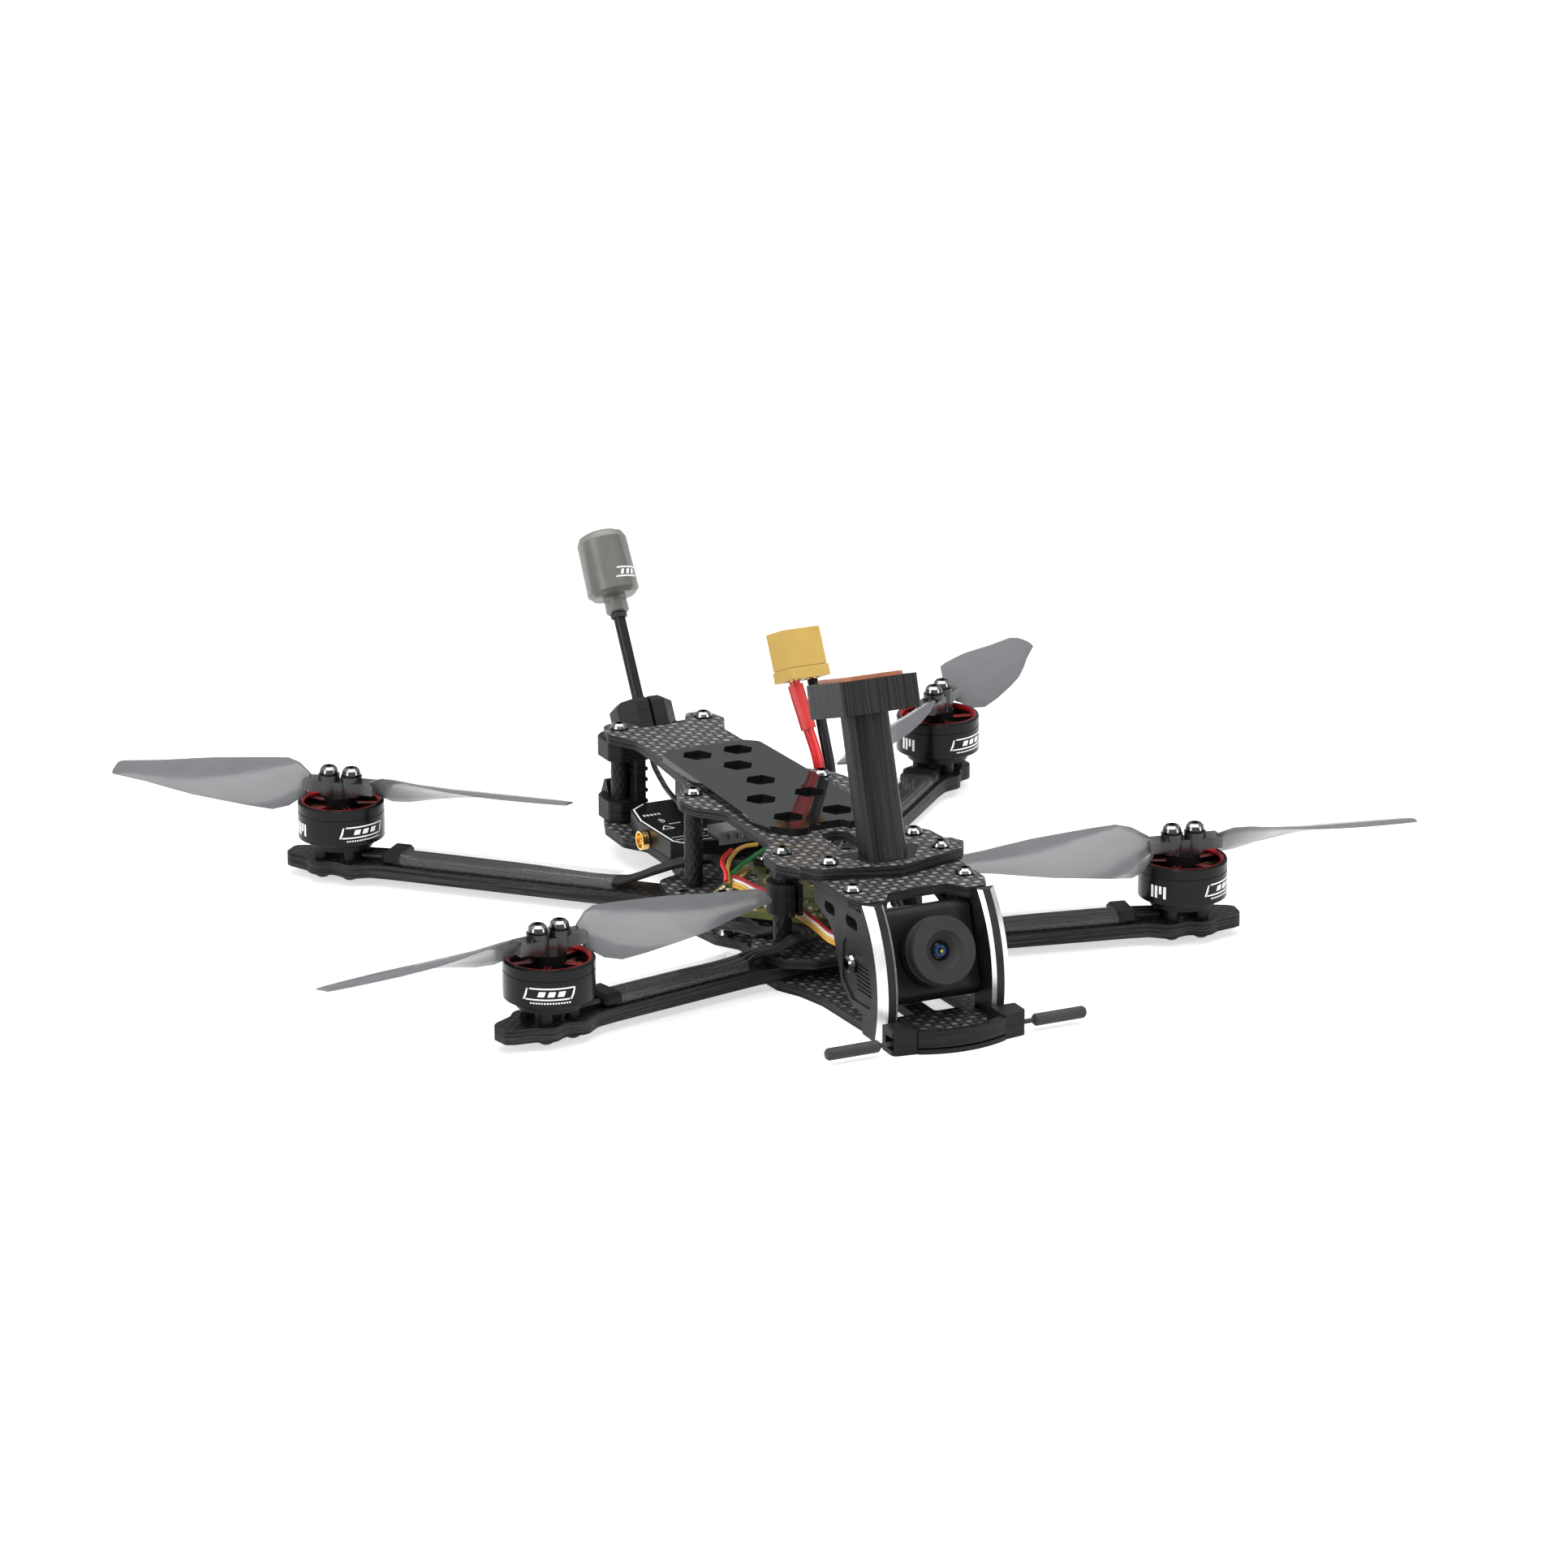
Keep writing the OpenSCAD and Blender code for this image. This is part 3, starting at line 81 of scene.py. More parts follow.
RED_ROUTE = [
    (10, -3.5, 11.9), (10.9, -2.6, 12.3), (11.3, 0.4, 13.2), (12.1, 3, 14.6), (13.2, 4.8, 16.6),
    (14.6, 5.4, 18.8), (15.8, 5.1, 21.2), (16.5, 4.4, 23.8), (16.7, 4, 26.4), (16.4, 4.2, 29),
    (15.9, 5.1, 32), (15.3, 6.3, 35), (14.9, 7.6, 38), (14.45, 9.1, 41.3), (14.05, 10.55, 44.5),
]
BLACK_ROUTE = [
    (12, -8, 11.9), (14.6, -6.2, 12.3), (17.4, -3.6, 13.2), (18.6, -0.8, 14.8), (18.9, 1.2, 17),
    (18.9, 2.4, 19.6), (18.9, 3, 22.4), (19, 3.2, 25), (19, 3.7, 27.6), (18.8, 4.6, 30.4),
    (18.7, 5.8, 33.4), (18.7, 7.2, 36.4), (18.75, 8.8, 39.4), (18.8, 10.3, 42), (18.84, 11.7, 43.9),
]


def mm(p):
    return Vector(p) * MM


def placed(at, *turns):
    """Matrix in metres from a place in millimetres and (axis, degrees) turns, outermost first."""
    m = Matrix.Translation(mm(at))
    for axis, degrees in turns:
        m = m @ Matrix.Rotation(math.radians(degrees), 4, axis)
    return m


def arm_frame(m):
    """Matrix at a motor's axis with +X along the arm towards the body."""
    x, y = MOTORS[m]
    rx, ry = ARM_ROOT[m]
    return placed((x, y, 0), ("Z", math.degrees(math.atan2(ry - y, rx - x))))


# ---------------------------------------------------------------- materials
DARK, DARK_SHEEN = 0.06, 0.16  # black non-metals under this brightness reflect less than the default


class Shader:
    """One material's node graph. Lengths inside it are in millimetres."""

    def __init__(self, name, color, rough, metal=0.0, **sockets):
        self.mat = bpy.data.materials.new(name)
        self.mat.use_nodes = True
        self.tree = self.mat.node_tree
        self.bsdf = self.tree.nodes["Principled BSDF"]
        self.put("Base Color", (*color, 1))
        self.put("Roughness", rough)
        self.put("Metallic", metal)
        if metal < 0.5 and max(color) < DARK:
            self.put("Specular IOR Level", DARK_SHEEN)
        for key, value in sockets.items():
            self.put(key.replace("_", " "), value)
        where = self.add("TexCoord")
        self.point = self.add("VectorMath", "SCALE", where.outputs["Object"], Scale=1000.0).outputs[0]
        self.normal = where.outputs["Normal"]
        split = self.add("SeparateXYZ", None, self.point)
        self.x, self.y, self.z = split.outputs

    def put(self, socket, value):
        self.bsdf.inputs[socket].default_value = value

    def add(self, kind, operation=None, *inputs, **named):
        node = self.tree.nodes.new("ShaderNode" + kind)
        if operation:
            node.operation = operation
        for i, value in enumerate(inputs):
            self.feed(node.inputs[i], value)
        for key, value in named.items():
            self.feed(node.inputs[key], value)
        return node

    def feed(self, socket, value):
        if isinstance(value, bpy.types.NodeSocket):
            self.tree.links.new(value, socket)
        else:
            socket.default_value = value

    def math(self, operation, a, b=0.0, c=0.0):
        return self.add("Math", operation, a, b, c).outputs[0]

    def mix(self, amount, a, b):
        """Blend of two colours or colour sockets."""
        node = self.tree.nodes.new("ShaderNodeMix")
        node.data_type = "RGBA"
        self.feed(node.inputs[0], amount)
        self.feed(node.inputs[6], (*a, 1) if isinstance(a, tuple) else a)
        self.feed(node.inputs[7], (*b, 1) if isinstance(b, tuple) else b)
        return node.outputs[2]

    def lerp(self, amount, a, b):
        """Blend of two numbers or number sockets."""
        node = self.tree.nodes.new("ShaderNodeMix")
        self.feed(node.inputs[0], amount)
        self.feed(node.inputs[2], a)
        self.feed(node.inputs[3], b)
        return node.outputs[0]

    def noise(self, per_mm, detail=2.0, point=None):
        """Noise with its own frequency along each axis: streaks where one is much lower."""
        scaled = self.add("VectorMath", "MULTIPLY", point or self.point, tuple(per_mm)).outputs[0]
        return self.add("TexNoise", None, Vector=scaled, Scale=1.0, Detail=detail).outputs[0]

    def span(self, value, low, high, to_low=0.0, to_high=1.0):
        return self.add("MapRange", None, value, low, high, to_low, to_high).outputs[0]

    def bump(self, height, depth_mm, strength):
        node = self.add("Bump", None, Height=height, Distance=depth_mm * MM, Strength=strength)
        self.feed(self.bsdf.inputs["Normal"], node.outputs[0])

    def paint(self, color):
        self.feed(self.bsdf.inputs["Base Color"], color)

    def roughen(self, value):
        self.feed(self.bsdf.inputs["Roughness"], value)


def worn(name, color, rough, metal=0.0, vary=0.25, grain=3.0, depth=0.01, **sockets):
    """Plain finish with soft mottling, uneven gloss and a fine grain."""
    s = Shader(name, color, rough, metal, **sockets)
    cloud = s.noise((0.22, 0.22, 0.22), 3)
    fine = s.noise((grain, grain, grain), 2)
    darker = tuple(c * (1 - vary) for c in color)
    lighter = tuple(min(1, c * (1 + vary)) for c in color)
    s.paint(s.mix(s.span(cloud, 0.3, 0.7), darker, lighter))
    s.roughen(s.span(s.noise((0.6, 0.6, 0.6), 4), 0.2, 0.8, rough * 0.8, rough * 1.25))
    s.bump(fine, depth, 0.6)
    return s.mat


def carbon(name, degrees=0.0, pale=0.36, tow=1.7):
    """Woven laminate: pale knots where a tow crosses over, painted as sheen on the tow's crown, a fainter
    painted sheen on the tows beneath, stacked plies on the cut edges.
    """
    s = Shader(name, (0.02, 0.02, 0.021), 0.36)
    a = math.radians(degrees)
    cos, sin = math.cos(a) / tow, math.sin(a) / tow
    x = s.math("ADD", s.math("MULTIPLY", s.x, cos), s.math("MULTIPLY", s.y, sin))
    y = s.math("SUBTRACT", s.math("MULTIPLY", s.y, cos), s.math("MULTIPLY", s.x, sin))
    wave = s.noise((0.3, 0.3, 0.3), 1)
    x = s.math("ADD", x, s.math("MULTIPLY", wave, 0.35))
    y = s.math("ADD", y, s.math("MULTIPLY", wave, -0.3))
    fx, fy = s.math("FRACT", x), s.math("FRACT", y)
    over = s.math("FLOORED_MODULO", s.math("ADD", s.math("FLOOR", x), s.math("FLOOR", y)), 2)
    crown = [s.math("SINE", s.math("MULTIPLY", f, math.pi)) for f in (fx, fy)]
    lie = s.math("MULTIPLY", s.math("POWER", crown[0], 0.8), s.math("POWER", crown[1], 0.8))
    fibre = s.lerp(over, s.noise((9, 0.5, 2), 2), s.noise((0.5, 9, 2), 2))
    spots = s.span(s.noise((0.55, 0.55, 0.55), 2), 0.35, 0.65, 0.55, 1.1)
    # painted sheen along the fibres: bright on the crown of a tow that lies on top, faint on a tow beneath
    shine = s.math("MULTIPLY", s.span(fibre, 0.25, 0.75, 0.35, 1.0), spots)
    over_tow_sheen = s.math("MULTIPLY", s.math("MULTIPLY", over, lie), shine)
    under_crown_sheen = s.math("MULTIPLY", lie, s.span(fibre, 0.3, 0.7, 0.06, 0.3))
    under = s.math("MULTIPLY", s.math("SUBTRACT", 1.0, over), under_crown_sheen)
    face = s.mix(s.math("ADD", over_tow_sheen, under), (0.006, 0.006, 0.0063), (pale, pale * 0.98, pale * 0.95))
    plies = s.noise((0.04, 0.04, 5.2), 2)
    stray = s.noise((0.5, 0.5, 9), 2)
    ply = s.math("MULTIPLY", s.span(plies, 0.42, 0.62), s.span(stray, 0.3, 0.75, 0.3, 1.0))
    edge = s.mix(ply, (0.003, 0.003, 0.0033), (0.05, 0.05, 0.051))
    flat = s.math("GREATER_THAN", s.math("ABSOLUTE", s.add("SeparateXYZ", None, s.normal).outputs[2]), 0.7)
    s.paint(s.mix(flat, edge, face))
    s.roughen(s.lerp(flat, 0.5, s.span(lie, 0.0, 1.0, 0.42, 0.3)))
    s.bump(s.lerp(flat, plies, s.math("ADD", lie, s.math("MULTIPLY", fibre, 0.2))), 0.07, 0.6)
    return s.mat


def printed(name, color, lines, rough=0.42, depth=0.12, contrast=2.4, turn=None):
    """Plastic laid down in lines, given as (normal axis, frequencies) pairs.

    The first pair is for every face that no later pair's axis fits.
    """
    s = Shader(name, color, rough)
    point, normal = s.point, s.normal
    if turn is not None:
        euler = tuple(math.radians(d) for d in turn)
        nodes = [s.add("VectorRotate", None, v) for v in (point, normal)]
        for node in nodes:
            node.rotation_type = "EULER_XYZ"
            node.inputs["Rotation"].default_value = euler
        point, normal = nodes[0].outputs[0], nodes[1].outputs[0]
    axes = s.add("SeparateXYZ", None, normal).outputs
    height = s.noise(lines[0][1], 3, point)
    for axis, per_mm in lines[1:]:
        mask = s.math("GREATER_THAN", s.math("ABSOLUTE", axes["XYZ".index(axis)]), 0.7)
        height = s.lerp(mask, height, s.noise(per_mm, 3, point))
    grey = s.span(height, 0.3, 0.7)
    s.paint(s.mix(grey, tuple(c / contrast for c in color), tuple(c * contrast for c in color)))
    s.roughen(s.span(height, 0.3, 0.7, rough * 0.85, rough * 1.2))
    s.bump(height, depth, 0.8)
    return s.mat


def wire_finish(name, color, rough=0.35):
    return worn(name, color, rough, 0, 0.12, 1.2, 0.02)


M = {
    "plate": carbon("carbon_plate"),
    "arm": carbon("carbon_arm", 45, 0.04),
    "screw": Shader("bright_screw", (0.4, 0.4, 0.41), 0.16, 1.0),
    "pad": worn("pad_gloss", (0.008, 0.008, 0.0083), 0.06, 0, 0.06, 0.5, 0.001, Specular_IOR_Level=0.24),
    "print": printed("black_print", (0.0055, 0.0055, 0.0055), [
        ("Z", (2.6, 0.12, 2.6)), ("Z", (2.8, 0.1, 0.1)), ("X", (0.1, 0.1, 3.0)), ("Y", (0.1, 0.1, 3.0)),
    ]),
    "mast": printed("mast_print", (0.007, 0.007, 0.007),
                    [("Y", (2.2, 2.2, 0.03))], 0.38, 0.12, 2.6, (MAST_LEAN, 0, 0)),
    "stem": worn("stem_jacket", (0.012, 0.012, 0.012), 0.3, 0, 0.2, 0.8, 0.02),
    "cap": worn("cap_smoke", (0.115, 0.113, 0.1), 0.36, 0, 0.12, 0.3, 0.002, Alpha=0.74),
    "gold": worn("gold_plate", (0.83, 0.56, 0.2), 0.24, 1.0, 0.12, 2.0, 0.004),
    "anodised": Shader("anodised_black", (0.011, 0.011, 0.012), 0.3),
    "copper_edge": worn("copper_edge", (0.32, 0.11, 0.05), 0.35, 0.3, 0.2, 3.0, 0.01),
    "ceramic": worn("pale_ceramic", (0.82, 0.74, 0.7), 0.25, 0, 0.05, 1.0, 0.004),
    "shrink": worn("grey_shrink", (0.03, 0.03, 0.031), 0.4, 0, 0.2, 1.2, 0.02),
    "board": worn("olive_board", (0.09, 0.1, 0.028), 0.35, 0, 0.3, 0.9, 0.01),
    "soft": worn("soft_rubber", (0.015, 0.015, 0.016), 0.65, 0, 0.25, 2.5, 0.03),
    "case": worn("black_case", (0.008, 0.008, 0.0085), 0.32, 0.2, 0.2, 4.0, 0.012),
    "tin": worn("shield_tin", (0.5, 0.5, 0.49), 0.32, 0.9, 0.15, 2.0, 0.01),
    "red_wire": wire_finish("red_silicone", (0.6, 0.02, 0.022)),
    "black_wire": wire_finish("black_silicone", (0.012, 0.012, 0.013)),
    "red_shrink": wire_finish("red_shrink", (0.5, 0.024, 0.022), 0.42),
    "shell": worn("yellow_shell", (0.43, 0.275, 0.048), 0.42, 0, 0.05, 3.0, 0.006),
    "clear": worn("clear_sleeve", (0.2, 0.2, 0.205), 0.06, 0, 0.04, 0.4, 0.001,
                  Alpha=0.13, Specular_IOR_Level=0.9),
    "copper": worn("winding_copper", (0.42, 0.16, 0.06), 0.35, 0.7, 0.25, 1.4, 0.08),
    "housing": worn("housing_black", (0.006, 0.006, 0.0063), 0.42, 0, 0.15, 5.0, 0.015),
    "lens_ring": worn("lens_ring", (0.022, 0.022, 0.0225), 0.5, 0, 0.08, 6.0, 0.008),
    "glass": Shader("lens_glass", (0.01, 0.012, 0.02), 0.03, 0, Alpha=0.75, IOR=1.6),
    "white": worn("white_key", (0.7, 0.7, 0.68), 0.45),
    "mark": worn("printed_mark", (0.78, 0.78, 0.78), 0.5, 0, 0.06, 2.0, 0.004),
    "bell": worn("bell_black", (0.006, 0.006, 0.0063), 0.2, 0, 0.15, 1.2, 0.004),
    "bell_red": worn("bell_red", (0.42, 0.01, 0.014), 0.3, 0.6, 0.15, 1.2, 0.004),
    "steel": worn("shaft_steel", (0.4, 0.4, 0.41), 0.3, 1.0, 0.15, 2.0, 0.006),
    "black_metal": worn("black_metal", (0.008, 0.008, 0.0085), 0.34, 0.1, 0.2, 2.0, 0.01),
    "blade": Shader("smoke_blade", (0.1, 0.102, 0.106), 0.16, Alpha=0.82),
    "tape": worn("black_tape", (0.006, 0.006, 0.006), 0.55, 0, 0.2, 2.5, 0.04),
    "chip": worn("chip_black", (0.012, 0.012, 0.013), 0.45, 0, 0.2, 3.0, 0.01),
    "tan": worn("part_tan", (0.42, 0.3, 0.16), 0.5, 0, 0.2, 3.0, 0.01),
    "green": worn("green_board", (0.02, 0.1, 0.045), 0.35, 0, 0.3, 1.5, 0.01),
}


def polish_bevels():
    """Side plates: black anodising cut away to bright metal on the two front bevels."""
    s = M["anodised"]
    parts = s.add("SeparateXYZ", None, s.normal).outputs
    side = s.math("ABSOLUTE", parts[0])
    bevel = s.math("MULTIPLY", s.math("GREATER_THAN", side, 0.35), s.math("LESS_THAN", side, 0.9))
    front = s.math("LESS_THAN", parts[1], -0.15)
    bright = s.math("MULTIPLY", bevel, front)
    brush = s.noise((0.2, 3.5, 0.25), 3)
    dark = s.mix(s.span(s.noise((0.3, 0.3, 0.3), 3), 0.3, 0.7), (0.010, 0.010, 0.011), (0.018, 0.018, 0.019))
    pale = s.mix(s.span(brush, 0.3, 0.7), (0.74, 0.745, 0.75), (0.9, 0.9, 0.91))
    s.paint(s.mix(bright, dark, pale))
    s.feed(s.bsdf.inputs["Metallic"], s.math("MULTIPLY", bright, 0.85))
    s.roughen(s.lerp(bright, s.span(brush, 0.3, 0.7, 0.36, 0.48), 0.3))
    s.bump(s.noise((5, 5, 5), 2), 0.012, 0.5)
    M["anodised"] = s.mat


def smoke_blades():
    """Clear grey moulding, darker and opaque where it is thick round the hub, with faint flow lines."""
    s = M["blade"]
    spans = zip((s.x, s.y), MOTORS["rl"])
    reach = [s.math("SUBTRACT", s.math("ABSOLUTE", axis), span) for axis, span in spans]
    radius = s.math("SQRT", s.math("ADD", *[s.math("MULTIPLY", r, r) for r in reach]))
    thin = s.span(radius, 5.5, 9.5)
    flow = s.span(s.noise((0.12, 0.12, 0.6), 2), 0.3, 0.7)
    blade = s.mix(flow, (0.088, 0.09, 0.094), (0.099, 0.102, 0.107))
    s.paint(s.mix(thin, (0.012, 0.012, 0.013), blade))
    s.roughen(s.span(flow, 0, 1, 0.16, 0.22))
    s.feed(s.bsdf.inputs["Alpha"], s.span(radius, 6.0, 10.0, 0.98, 0.82))
    M["blade"] = s.mat


def paint_screw_glint_and_shade():
    """Plated steel with light and shade painted in by facing: a painted glint on a head's rounded shoulder,
    painted shade on its skirt, its flat and in the socket.
    """
    s = M["screw"]
    rise = s.add("SeparateXYZ", None, s.normal).outputs[2]
    shoulder = s.math("MULTIPLY", s.span(rise, 0.1, 0.4), s.span(rise, 0.86, 0.99, 1.0, 0.0))
    scratch = s.span(s.noise((1.5, 1.5, 1.5), 3), 0.3, 0.7)
    bright = s.mix(scratch, (0.2, 0.2, 0.205), (0.34, 0.34, 0.345))
    # painted glint on the shoulder; painted shade on the skirt, the flat and in the socket
    s.paint(s.mix(shoulder, (0.025, 0.025, 0.026), bright))
    s.roughen(s.span(scratch, 0, 1, 0.12, 0.22))
    M["screw"] = s.mat


def coat_lens_and_paint_glint():
    """Coated front glass: a blue ring and a painted yellow-green glint beside the lens axis."""
    s = M["glass"]
    tilt = math.radians(TILT)
    along = s.math("MULTIPLY", s.math("SUBTRACT", s.y, PIVOT[1]), math.sin(tilt))
    up = s.math("ADD", along, s.math("MULTIPLY", s.math("SUBTRACT", s.z, PIVOT[2]), math.cos(tilt)))

    def reach(x, height):
        sides = (s.math("SUBTRACT", s.x, x), s.math("SUBTRACT", up, height))
        return s.math("SQRT", s.math("ADD", *[s.math("MULTIPLY", side, side) for side in sides]))

    from_axis = reach(0, 0)
    ring = s.math("MULTIPLY", s.span(from_axis, 0.55, 0.8), s.span(from_axis, 0.95, 1.25, 1.0, 0.0))
    # painted yellow-green glint off the coating, a little beside the axis
    spot = s.span(reach(0.2, -0.15), 0.2, 0.4, 1.0, 0.0)
    s.paint(s.mix(spot, s.mix(ring, (0.006, 0.008, 0.014), (0.03, 0.07, 0.2)), (0.5, 0.5, 0.08)))
    M["glass"] = s.mat


polish_bevels()
smoke_blades()
paint_screw_glint_and_shade()
coat_lens_and_paint_glint()


def braid(name, color, shine, turns=7, pitch=1.7):
    """Crossed strands: diamonds round the Z axis of the piece."""
    s = Shader(name, color, 0.4)
    angle = s.math("MULTIPLY", s.math("ARCTAN2", s.y, s.x), turns / TAU)
    rise = s.math("MULTIPLY", s.z, 1 / pitch)
    strands = []
    for sign in (1, -1):
        phase = s.math("FRACT", s.math("ADD", angle, s.math("MULTIPLY", rise, sign)))
        strands.append(s.math("SINE", s.math("MULTIPLY", phase, math.pi)))
    height = s.math("MAXIMUM", strands[0], strands[1])
    fine = s.noise((3, 3, 3), 2)
    s.paint(s.mix(s.math("MULTIPLY", s.span(height, 0.6, 1.0), fine), color, shine))
    s.bump(height, 0.15, 0.8)
    return s.mat


M["braid"] = braid("braided_jacket", (0.012, 0.012, 0.012), (0.2, 0.2, 0.2))
M["knurl"] = worn("knurl_black", (0.016, 0.016, 0.017), 0.32, 0.2, 0.25, 1.5, 0.02)

NODE_MATERIAL = {
    "bottom_plate": "plate", "middle_plate": "plate", "top_plate": "plate", "gps_base_plate": "plate",
    "arm_front_right": "arm", "arm_front_left": "arm", "arm_rear_right": "arm", "arm_rear_left": "arm",
    "screws": "screw", "battery_pad": "pad", "rear_antenna_mount": "print", "antenna_stem": "stem",
    "antenna_cap": "cap", "antenna_element": "gold",
    "side_plate_right": "anodised", "side_plate_left": "anodised", "gps_mast": "mast",
    "gps_module": "copper_edge", "front_antenna_holder": "print", "receiver_antenna": "shrink",
    "flight_controller": "board", "fc_grommets": "soft", "vtx_case": "case", "vtx_heatsink": "case",
    "vtx_shield": "tin", "vtx_socket": "gold", "lead_heatshrink": "red_shrink", "power_connector": "shell",
    "arm_sleeves": "clear", "wire_clip": "print", "motor_bases": "black_metal", "motor_cores": "copper",
    "camera_housing": "housing", "lens_barrel": "lens_ring", "lens_glass": "glass", "camera_screws": "screw",
    "boot_button": "white", "vtx_button": "white",
}
ROTOR_MATERIAL = {"bell_": "bell", "rotor_core_": "steel", "propeller_": "blade", "prop_screws_": "screw"}
for m in MOTORS:
    NODE_MATERIAL.update({node + m: key for node, key in ROTOR_MATERIAL.items()})
for node, key in NODE_MATERIAL.items():
    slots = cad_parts[node].data.materials
    for i in range(len(slots)):
        slots[i] = M[key]


def smooth_facets(degrees=38):
    """Node group that shades a moulded part as one smooth surface and keeps its sharper edges."""
    tree = bpy.data.node_groups.new("smooth_facets", "GeometryNodeTree")
    for way in ("INPUT", "OUTPUT"):
        tree.interface.new_socket("Geometry", in_out=way, socket_type="NodeSocketGeometry")
    kinds = ("NodeGroupInput", "GeometryNodeRemoveAttribute", "GeometryNodeMergeByDistance",
             "GeometryNodeSetShadeSmooth", "GeometryNodeSetShadeSmooth", "NodeGroupOutput")
    chain = [tree.nodes.new(kind) for kind in kinds]
    for before, after in zip(chain, chain[1:]):
        tree.links.new(before.outputs[0], after.inputs[0])
    chain[1].inputs["Name"].default_value = "custom_normal"
    chain[2].inputs["Distance"].default_value = 1e-6
    chain[4].domain = "EDGE"
    chain[4].inputs["Shade Smooth"].default_value = False
    angle = tree.nodes.new("GeometryNodeInputMeshEdgeAngle")
    sharp = tree.nodes.new("FunctionNodeCompare")
    sharp.data_type, sharp.operation = "FLOAT", "GREATER_THAN"
    sharp.inputs[1].default_value = math.radians(degrees)
    tree.links.new(angle.outputs[0], sharp.inputs[0])
    tree.links.new(sharp.outputs[0], chain[4].inputs["Selection"])
    return tree


moulded = smooth_facets()
for m in MOTORS:
    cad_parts["propeller_" + m].modifiers.new("smooth", "NODES").node_group = moulded


# ---------------------------------------------------------------- builders of pieces
def piece(name, bm, material, body="frame", smooth=True):
    """Links a bmesh, in metres, as a piece that rides on a body."""
    bmesh.ops.recalc_face_normals(bm, faces=bm.faces[:])
    mesh = bpy.data.meshes.new(name)
    bm.to_mesh(mesh)
    bm.free()
    obj = bpy.data.objects.new(name, mesh)
    scene.collection.objects.link(obj)
    mesh.materials.append(M[material])
    if smooth:
        mesh.polygons.foreach_set("use_smooth", [True] * len(mesh.polygons))
        mesh.set_sharp_from_angle(angle=math.radians(35))
    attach(obj, body)
    return obj


def curve(name, points, diameter, material):
    """Round wire along points in millimetres, as one smooth open spline."""
    data = bpy.data.curves.new(name, "CURVE")
    data.dimensions = "3D"
    data.bevel_depth = diameter / 2 * MM
    data.bevel_resolution = 4
    data.resolution_u = 6
    data.use_fill_caps = True
    spline = data.splines.new("BEZIER")
    spline.bezier_points.add(len(points) - 1)
    for bp, p in zip(spline.bezier_points, points):
        bp.co = mm(p)
        bp.handle_left_type = bp.handle_right_type = "AUTO"
    obj = bpy.data.objects.new(name, data)
    scene.collection.objects.link(obj)
    data.materials.append(M[material])
    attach(obj, "frame")
    return obj


def skin(bm, rings):
    """Faces between each ring of vertices and the next."""
    n = len(rings[0])
    for a, b in zip(rings, rings[1:]):
        for k in range(n):
            bm.faces.new((a[k], a[(k + 1) % n], b[(k + 1) % n], b[k]))


def lathe(bm, profile, matrix, segments=48):
    """Revolves a closed profile of (radius, height) points in millimetres round Z."""
    rings = []
    for r, z in profile:
        ring = []
        for k in range(segments):
            a = TAU * k / segments
            ring.append(bm.verts.new(matrix @ Vector((r * MM * math.cos(a), r * MM * math.sin(a), z * MM))))
        rings.append(ring)
    skin(bm, rings + rings[:1])


def block(bm, centre, size, matrix=Matrix.Identity(4), bevel=0.08):
    """Box with eased edges. centre and size in millimetres."""
    fitted = matrix @ Matrix.Translation(mm(centre)) @ Matrix.Diagonal((*mm(size), 1))
    made = bmesh.ops.create_cube(bm, size=1.0, matrix=fitted)
    if bevel:
        edges = list({e for v in made["verts"] for e in v.link_edges})
        bmesh.ops.bevel(bm, geom=edges, offset=bevel * MM, segments=1, affect="EDGES", clamp_overlap=True)


def prism(bm, outline, z0, z1, matrix=Matrix.Identity(4)):
    """Upright prism on an outline of (x, y) millimetres."""
    rings = [[bm.verts.new(matrix @ mm((x, y, z))) for x, y in outline] for z in (z0, z1)]
    skin(bm, rings)
    bm.faces.new(rings[0][::-1])
    bm.faces.new(rings[1])


def ribbon(bm, path, width, z):
    """Flat printed line of a given width along (x, y) points."""
    left, right = [], []
    for i, p in enumerate(path):
        a, b = Vector(path[max(i - 1, 0)]), Vector(path[min(i + 1, len(path) - 1)])
        d = (b - a).normalized()
        n = Vector((-d.y, d.x)) * width / 2
        left.append(Vector(p) + n)
        right.append(Vector(p) - n)
    prism(bm, [tuple(v) for v in right] + [tuple(v) for v in reversed(left)], z, z + INK)


def wrapped(bm, columns, radius, turn, z, matrix):
    """Thin mark bent round a cylinder, on (place along the girth, low, high) columns in millimetres."""
    walls = []
    for u, low, high in columns:
        a = math.radians(turn) + u / radius
        for r in (radius, radius + INK):
            x, y = r * math.cos(a), r * math.sin(a)
            walls.append([bm.verts.new(matrix @ mm((x, y, z + v))) for v in (low, high)])
    for i in range(0, len(walls) - 2, 2):
        a0, a1, b0, b1 = walls[i:i + 4]
        bm.faces.new((a1[0], b1[0], b1[1], a1[1]))
        bm.faces.new((a0[0], a0[1], b0[1], b0[0]))
        bm.faces.new((a0[0], b0[0], b1[0], a1[0]))
        bm.faces.new((a0[1], a1[1], b1[1], b0[1]))
    for a0, a1 in (walls[:2], walls[-2:]):
        bm.faces.new((a0[0], a1[0], a1[1], a0[1]))


SLANT, COLUMN_STEP, TIP = 0.35, 0.5, 0.02


def slanted_bar(u0, u1, low, high):
    """Columns of a bar whose ends lean forward."""
    reach = (high - low) * SLANT
    count = max(2, int((u1 - u0) / COLUMN_STEP))
    places = [u0 + (u1 - u0) * i / count for i in range(count + 1)]
    first, last = places[0], places[-1]
    inner = [(u, low, high) for u in places if first + reach < u < last - reach]
    ends = (first, low, low + TIP), (last, high - TIP, high)
    return [ends[0], (first + reach, low, high), *inner, (last - reach, low, high), ends[1]]


